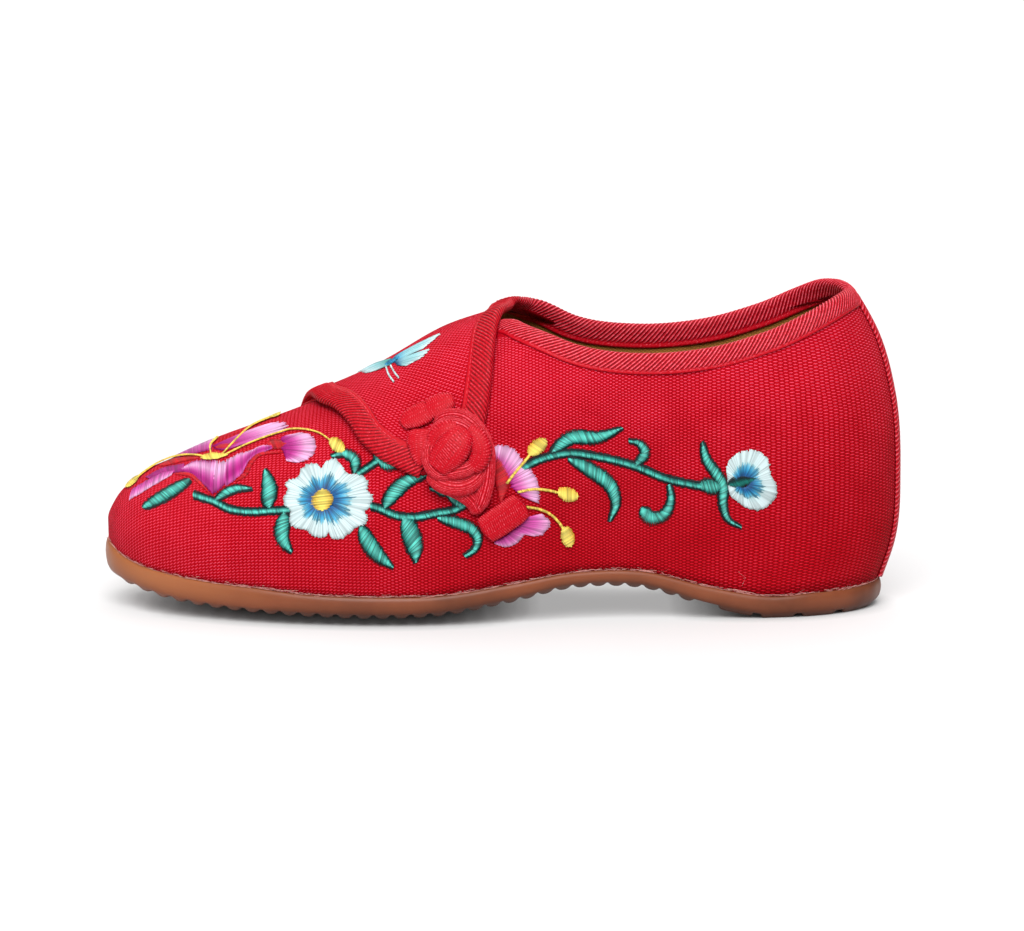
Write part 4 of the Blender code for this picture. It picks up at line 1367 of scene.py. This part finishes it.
# Where a blossom's white threads start, how many blue ones lie over them, and the lift and width of both.
WHITE_START = 0.4
BLUE_NUMBER = 0.7
WHITE_LIFT = 0.15
BLUE_LIFT = 0.35
WHITE_WIDTH = 1.4
BLUE_WIDTH = 1.1


def blossom(shape, heart, scallops, start, blue):
    """White petal threads out to a scalloped rim, with blue threads over their inner ends."""
    closed = scallops + scallops[:1]
    count = int(cloth_length(UPPER, closed[: len(closed) // 2]) * 2.0 / STITCH_PITCH)
    rim = curve(closed, count)
    inner = heart + (rim - heart) * WHITE_START
    lay_threads(shape, UPPER, inner, rim, ("ice", "snow", "snow"), WHITE_LIFT, width=WHITE_WIDTH, jitter=0.05,
                shades=WHITE_SHADES)
    spokes = curve(closed, int(count * BLUE_NUMBER)) - heart
    reach = RANDOM.uniform(*blue, (len(spokes), 1))
    tones = ("ocean", "ocean", "sky", "ice")
    lay_threads(shape, UPPER, heart + spokes * start, heart + spokes * reach, tones, BLUE_LIFT,
                width=BLUE_WIDTH, shades=BLUE_SHADES)


def make_white_flowers(silk):
    """The white flower with its gold eye, and the white bud with its calyx."""
    shape = Shape()
    blossom(shape, WHITE_HEART, WHITE_OUTLINE, 0.2, WHITE_BLUE)
    top = WHITE_HEART - (0.0, WHITE_EYE)
    foot = WHITE_HEART + (0.0, WHITE_EYE)
    eye = ("gold", "lemon", "lemon", "gold")
    satin(shape, UPPER, (top, foot), WHITE_EYE, "bud", eye, lift=0.6, slant=0.1)
    blossom(shape, BUD_HEART, BUD_OUTLINE, 0.15, BUD_BLUE)
    satin(shape, UPPER, BUD_CALYX, 6.2, "leaf", ("pine", "pine", "teal", "pine"), lift=0.5)
    shape.build("embroidered_white_flowers", silk)


# Butterfly on the flap, in pixels: line near its body, outer line of the wing, and tones.
WINGS = (
    (((395, 362), (397, 365), (401, 366)), ((430, 349), (425, 355), (407, 366)),
     ("ocean", "ice", "ice", "snow")),
    (((394, 357), (396, 359), (398, 361)), ((441, 333), (433, 341), (423, 349)),
     ("sky", "ice", "ice", "snow")),
    (((391, 359), (391, 362), (391, 365)), ((358, 370), (364, 373), (376, 371)), ("teal", "ice", "snow")),
)
ANTENNAE = (((386, 366), (389, 375), (394, 382)), ((391, 366), (395, 373), (399, 378)))
BUTTERFLY_BODY = ((386, 366), (392, 362), (399, 358))


def make_butterfly(silk):
    """Butterfly on the flap: wings, antennae and body."""
    shape = Shape()
    for inner, outer, tones in WINGS:
        fan(shape, FLAP, inner, outer, tones)
    for points in ANTENNAE:
        satin(shape, FLAP, points, 0.8, "stem", ("snow", "snow"), lift=0.1)
    satin(shape, FLAP, BUTTERFLY_BODY, 2.0, "leaf", ("ocean", "sky"), lift=0.3)
    shape.build("embroidered_butterfly", silk)


# Frog fastener

CORD_PITCH = 0.66 * MM
CORD_HEIGHT = 0.2 * MM
# Sides and step along the strip for each way of ribbing.
RIBBON_DETAIL = {"along": (120, 0.45 * MM), "across": (28, 0.13 * MM)}
END_ROUND = 0.07
# How square a strip is across and upward, how its cross ribs lean, and the share of it that sinks in.
STRIP_SQUARE = (0.7, 0.8)
STRIP_LEAN = 0.25
STRIP_SINK = 0.3
# Tint of the cords: painted shade in their grooves rising to painted highlight on their ridges.
CORD_SHADE_AND_HIGHLIGHT = (0.04, 0.86)


def ribbon(shape, points, ups, half, thick, ribs):
    """A soft folded strip along a line of points, ribbed along or across its length."""
    way = unit(np.gradient(points, axis=0))
    side = unit(np.cross(ups, way))
    upward = np.cross(way, side)
    angle = np.linspace(0.0, 2.0 * np.pi, RIBBON_DETAIL[ribs][0], endpoint=False)[::-1]
    out = np.sign(np.cos(angle)) * np.abs(np.cos(angle)) ** STRIP_SQUARE[0]
    rise = np.sign(np.sin(angle)) * np.abs(np.sin(angle)) ** STRIP_SQUARE[1]
    across = side[:, None] * (out[None] * half[:, None])[..., None]
    body = points[:, None] + across + upward[:, None] * (rise[None] * thick[:, None])[..., None]
    if ribs == "across":
        distance = lengths(points)[:, None] + STRIP_LEAN * out[None] * half[:, None]
        ridge = np.abs(np.sin(np.pi * distance / CORD_PITCH))
    else:
        count = np.maximum(np.round(3.6 * half.max() / CORD_PITCH), 3.0)
        ridge = np.abs(np.sin(np.pi * count * (angle / np.pi)))[None] * np.ones((len(points), 1))
    body = body + grid_normals(body) * (CORD_HEIGHT * (ridge - RIB_MIDDLE))[..., None]
    # Painted highlights on the cords' ridges and painted shade in their grooves.
    tint = CORD_SHADE_AND_HIGHLIGHT[0] + CORD_SHADE_AND_HIGHLIGHT[1] * ridge**2
    shape.grid(body, tint=tint[..., None], wrap=True, caps=True)


def dome(shape, cloth, centre, reach, height):
    """A rounded core that fills the knot under its turns, tinted darker as painted shade between them."""
    angle = np.linspace(0.0, 2.0 * np.pi, 40, endpoint=False)
    radius = np.linspace(0.02, 1.0, 14)[:, None]
    around = np.stack([np.cos(angle) * reach[0], np.sin(angle) * reach[1]], axis=-1)
    base, normal = cloth.points(np.array(centre) + radius[..., None] * around)
    rise = height * MM * np.sqrt(1.0 - 0.98 * radius**2) * np.ones(len(angle))
    # The core's low tint is painted shade between the knot's turns.
    shape.grid(base + normal * rise[..., None], tint=0.2, wrap=True, caps=True)


# Core of the knot: middle and reach in pixels, height in millimetres.
KNOT_CORE = ((458, 452), (28, 27), 7.4)
# Strips of the frog, in pixels: node, cloth, ribs and thickness, then rows of across, down, half width and
# height. Thickness and height are in millimetres.
FROG_STRIPS = (
    ("frog_tab_upper", FLAP, "across", 1.1, (
        (402, 426, 6, 0.7), (410, 421, 11, 1.2), (419, 417, 12.5, 1.3), (431, 411, 12, 1.2))),
    ("frog_tab_upper", FLAP, "across", 1.1, (
        (427, 412, 11, 1.2), (438, 408, 12, 1.6), (447, 404, 11, 1.5), (455, 401, 7, 0.9))),
    ("frog_tab_lower", FLAP, "across", 1.2, (
        (424, 430, 12, 0.8), (423, 438, 15, 1.6), (423, 447, 14, 2.2), (422, 456, 10, 1.8),
        (424, 467, 5, 0.9))),
    ("frog_loop", UPPER, "along", 1.6, (
        (437, 428, 6, 4.2), (452, 422, 7, 5.0), (465, 422, 7, 5.2), (476, 428, 7, 5.0), (484, 439, 7, 4.8),
        (488, 452, 7, 4.6), (488, 468, 7, 4.2), (486, 482, 7.5, 3.6), (482, 496, 8, 3.0),
        (476, 511, 7, 2.2))),
    ("frog_loop", UPPER, "along", 1.8, (
        (431, 474, 7, 3.8), (441, 484, 9, 4.6), (452, 487, 10, 4.8), (464, 486, 10, 4.6), (475, 480, 9, 4.2),
        (484, 469, 7, 4.0))),
    ("frog_pad", UPPER, "along", 1.4, (
        (450, 487, 9, 3.4), (464, 493, 9.5, 3.0), (473, 501, 8.5, 2.4), (479, 513, 7, 1.8))),
    ("frog_pad", UPPER, "across", 1.2, (
        (482, 532, 13, 1.2), (492, 525, 14.5, 1.6), (504, 517, 14.5, 1.7), (514, 510, 14.5, 1.6),
        (523, 503, 13, 1.2))),
    ("frog_knot", UPPER, "along", 1.8, (
        (454, 476, 7, 5.4), (441, 476, 8, 5.8), (434, 469, 8, 6.0), (433, 459, 8, 6.4), (437, 450, 7.5, 6.6),
        (444, 444, 6, 6.4))),
    ("frog_knot", UPPER, "along", 1.5, (
        (436, 447, 4.5, 6.2), (440, 438, 5, 7.0), (448, 433, 5.5, 7.4), (460, 431, 5.5, 7.4),
        (470, 434, 5.5, 7.0), (479, 442, 5, 6.2))),
    ("frog_knot", UPPER, "across", 2.4, (
        (438, 474, 11, 6.2), (447, 464, 16, 7.6), (456, 455, 17, 8.5), (463, 446, 15, 8.5),
        (470, 437, 10, 7.0))),
    ("frog_knot", UPPER, "across", 2.0, (
        (470, 435, 7, 6.6), (479, 443, 10, 7.2), (482, 454, 10.5, 7.0), (478, 464, 10, 6.4),
        (471, 471, 7, 5.4))),
    ("frog_knot", UPPER, "across", 1.8, (
        (436, 454, 7, 6.4), (442, 444, 9.5, 7.5), (452, 438, 10, 8.0), (463, 436, 8, 7.4))),
    ("frog_knot", UPPER, "along", 1.7, (
        (447, 477, 6, 5.8), (458, 474, 8, 6.5), (468, 471, 7.5, 6.3), (477, 464, 5, 5.6))),
)
FROG_NODES = ("frog_tab_upper", "frog_tab_lower", "frog_loop", "frog_pad", "frog_knot")


def frog_strip(shape, cloth, ribs, thick, rows):
    """One strip of the frog, laid on its cloth and rounded at both ends."""
    table = np.array(rows, float)
    count = int(cloth_length(cloth, table[:, :2]) / RIBBON_DETAIL[ribs][1])
    fine = curve(table, count)
    base, normal = cloth.points(fine[:, :2])
    share = np.linspace(0.0, 1.0, count)
    ends = np.clip(np.minimum(share, 1.0 - share) / END_ROUND, 0.05, 1.0) ** 0.5
    points = base + normal * (fine[:, 3:4] - thick * STRIP_SINK) * MM
    ribbon(shape, points, normal, fine[:, 2] * PIXEL * ends, thick * MM * ends, ribs)


def make_frog(tape):
    """Knotted button, its tabs on the flap and the loop and pad on the side."""
    for node in FROG_NODES:
        shape = Shape()
        for owner, *strip in FROG_STRIPS:
            if owner == node:
                frog_strip(shape, *strip)
        if node == "frog_knot":
            dome(shape, UPPER, *KNOT_CORE)
        piece = shape.build(node + "_tape", tape)
        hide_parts(node)


# Fray, stitches and stray fibres

FIBRE_ANGLES = (0.0, 2.1, 4.2)
FIBRE_ASIDE = np.array((0.31, 0.52, 0.79))
FIBRE_SHADES = (0.75, 1.05)


def fibres(shape, start, reach, bend, radius, tone):
    """Thin curved hairs from start points along their reach, bent sideways."""
    share = np.linspace(0.0, 1.0, 5)[None, :, None]
    line = start[:, None] + share * reach[:, None] + share * (1.0 - share) * bend[:, None]
    way = unit(np.gradient(line, axis=1))
    side = unit(np.cross(way, FIBRE_ASIDE))
    other = np.cross(way, side)
    rings = []
    for angle in FIBRE_ANGLES:
        rings.append(line + (side * np.cos(angle) + other * np.sin(angle)) * radius[:, None, None])
    shade = RANDOM.uniform(*FIBRE_SHADES, (len(start), 1, 1, 1))
    shape.grid(np.stack(rings, axis=2), tint=np.clip(linear(tone) * shade, 0.0, 1.0), wrap=True, caps=True)


# Fray on each side: how many, then length, straying and thickness in millimetres.
FRAY_KINDS = ((400, 1.7, 0.12, (0.04, 0.09)), (560, 0.8, 0.45, (0.02, 0.04)))
# Stray hairs, in pixels, with their length in millimetres.
STRAY_HAIRS = ((897, 431, 3.0), (896, 434, 2.0), (745, 588, 3.0))
HAIR_RADIUS = 0.018 * MM
FRAY_PLACES = 1200
FRAY_ENDS = (0.6, HEEL_STATION - 0.1)
FRAY_LIFT = 0.15 * MM


def make_fray(yarn):
    """Cut threads that lie along the seam of canvas and sole and stray out of it, and a few loose hairs."""
    shape = Shape()
    stations = even_stations(FRAY_PLACES, -1.0)
    for side in (-1, 1):
        for count, span, stray, thickness in FRAY_KINDS:
            place = RANDOM.choice(stations, count) + RANDOM.uniform(-0.01, 0.01, count)
            place = np.clip(place, *FRAY_ENDS)
            height = section(place)["feather"] + RANDOM.gamma(1.4, 0.15, count) * MM
            turn = turn_at_height(place, side, height)
            base = last(place, turn)
            normal = facing(last, place, turn)
            along = unit(tangents(last, place, turn)[0]) * RANDOM.choice((-1.0, 1.0), (count, 1))
            out = normal * RANDOM.uniform(0.0, stray, (count, 1))
            up = np.array((0.0, 0.0, 1.0)) * RANDOM.uniform(-0.3 * stray, stray, (count, 1))
            length = RANDOM.gamma(2.0, span / 2.0, (count, 1)) * MM
            bend = RANDOM.normal(0.0, stray, (count, 3)) * length
            radius = RANDOM.uniform(*thickness, count) * MM
            fibres(shape, base + normal * FRAY_LIFT, (along + out + up) * length, bend, radius, "fray")
    for across, down, span in STRAY_HAIRS:
        base, normal = UPPER.points(np.full((2, 2), (across, down), float))
        reach = (normal * 0.4 + RANDOM.normal(0.0, 0.6, (2, 3))) * span * MM
        bend = RANDOM.normal(0.0, 0.3, (2, 3)) * span * MM
        fibres(shape, base, reach, bend, np.full(2, HAIR_RADIUS), "lint")
    shape.build("seam_fray", yarn)


LOCKSTITCH_PITCH = 2.1 * MM
LOCKSTITCH_LENGTH = 1.5 * MM
LOCKSTITCH_RADIUS = 0.2 * MM
LOCKSTITCH_LIFT = 0.5 * MM
LOCKSTITCH_ENDS = (0.5 * MM, 2.0 * MM)


def points_at(line, distance, places):
    """Points of a line at some distances along it."""
    return np.stack([np.interp(places, distance, axis) for axis in line.T], axis=-1)


def make_stitches(yarn):
    """Lockstitches along the lower edges of the tapes."""
    shape = Shape()
    collar_depth = TAPE_GROOVE * COLLAR_TAPE_REACH
    runs = (
        (last, np.linspace(10.4, 18.2, 900), -1, None, collar_depth),
        (last, np.linspace(18.2, 10.8, 900), 1, None, collar_depth),
        (flap_face, np.linspace(7.4, 0.8, 500), 0, 0.0, TAPE_GROOVE),
        (flap_face, np.linspace(2.4, 6.6, 500), 0, 1.0, TAPE_GROOVE),
    )
    for surface, first, side, share, depth in runs:
        second = opening_edge(first, side) if share is None else np.full(len(first), share)
        base = surface(first, second)
        way = unit(np.gradient(base, axis=0))
        normal = facing(surface, first, second)
        inward = unit(np.cross(way, normal))
        there = walk(surface, first, second, inward, depth * MM)
        line = surface(*there) + facing(surface, *there) * LOCKSTITCH_LIFT
        distance = lengths(line)
        starts = np.arange(LOCKSTITCH_ENDS[0], distance[-1] - LOCKSTITCH_ENDS[1], LOCKSTITCH_PITCH)
        begin = points_at(line, distance, starts)
        stop = points_at(line, distance, starts + LOCKSTITCH_LENGTH)
        radius = np.full(len(begin), LOCKSTITCH_RADIUS)
        fibres(shape, begin, stop - begin, np.zeros_like(begin), radius, "stitch_red")
    shape.build("tape_stitches", yarn)


# Stage, light and camera

WHITE = (1.0, 1.0, 1.0, 1.0)
FLOOR_CORNERS = ((-8.0, -4.0, 0.0), (8.0, -4.0, 0.0), (8.0, 14.0, 0.0), (-8.0, 14.0, 0.0))
FLOOR_COLOUR = (0.41, 0.405, 0.405, 1.0)
# The floor's glow and, by ambient occlusion, its painted contact shadow near the shoe: reach and samples.
FLOOR_GLOW = 0.38
CONTACT_SHADOW_REACH = 7.0 * MM
CONTACT_SHADOW_SAMPLES = 4
WORLD_STRENGTH = 0.22
# Lamps: name, where the light comes from, strength, and spread in degrees.
LAMPS = (
    ("key_light", (-0.05, -0.95, 1.0), 4.75, 44.0),
    ("top_light", (0.1, 0.6, 1.0), 1.6, 60.0),
    ("toe_light", (-1.0, -0.35, 0.2), 0.5, 40.0),
)


def make_floor():
    """A pale floor that runs past the view and glows like a light table, its glow dimmed near the shoe as
    painted contact shadow.
    """
    mesh = bpy.data.meshes.new("floor")
    mesh.from_pydata(FLOOR_CORNERS, [], [(0, 1, 2, 3)])
    floor = bpy.data.objects.new("floor", mesh)
    bpy.context.scene.collection.objects.link(floor)
    material, tree, shader = new_material("pale_floor", roughness=0.6, specular=0.1)
    shader.inputs["Base Color"].default_value = FLOOR_COLOUR
    shader.inputs["Emission Color"].default_value = WHITE
    contact_shadow = tree.nodes.new("ShaderNodeAmbientOcclusion")
    contact_shadow.samples = CONTACT_SHADOW_SAMPLES
    contact_shadow.inputs["Distance"].default_value = CONTACT_SHADOW_REACH
    glow = multiply(tree, contact_shadow.outputs["AO"], FLOOR_GLOW)
    tree.links.new(glow, shader.inputs["Emission Strength"])
    mesh.materials.append(material)


def make_light():
    """An even white room and soft lamps."""
    world = bpy.data.worlds.new("studio")
    world.use_nodes = True
    backdrop = world.node_tree.nodes["Background"]
    backdrop.inputs["Color"].default_value = WHITE
    backdrop.inputs["Strength"].default_value = WORLD_STRENGTH
    bpy.context.scene.world = world
    for name, position, strength, spread in LAMPS:
        lamp = bpy.data.lights.new(name, "SUN")
        lamp.energy = strength
        lamp.angle = np.radians(spread)
        sun = bpy.data.objects.new(name, lamp)
        sun.rotation_euler = Vector(position).to_track_quat("Z", "Y").to_euler()
        bpy.context.scene.collection.objects.link(sun)


def make_camera():
    """Camera at the photo's viewing angle."""
    forward = Vector(VIEW_FORWARD)
    view = bpy.data.cameras.new("view")
    view.sensor_width = SENSOR_MM
    view.lens = LENS_MM
    camera = bpy.data.objects.new("view", view)
    camera.location = Vector(VIEW_CENTRE) - forward * VIEW_DISTANCE
    camera.rotation_euler = forward.to_track_quat("-Z", "Y").to_euler()
    bpy.context.scene.collection.objects.link(camera)
    bpy.context.scene.camera = camera
    bpy.context.scene.view_settings.view_transform = "Standard"


def main():
    make_floor()
    make_light()
    make_camera()
    canvas = make_canvas()
    tape = make_tape()
    lining = make_lining()
    silk = make_thread("silk_thread", roughness=0.45)
    yarn = make_thread("cotton_yarn", roughness=0.85)
    make_upper(canvas)
    make_lining_piece(lining)
    make_insole(lining)
    make_flap(canvas)
    make_tapes(tape)
    make_back_stay(tape)
    make_outsole(make_rubber())
    make_frog(tape)
    make_greens(silk)
    make_pink_flowers(silk)
    make_white_flowers(silk)
    make_stamens(silk)
    make_butterfly(silk)
    make_fray(yarn)
    make_stitches(yarn)


main()
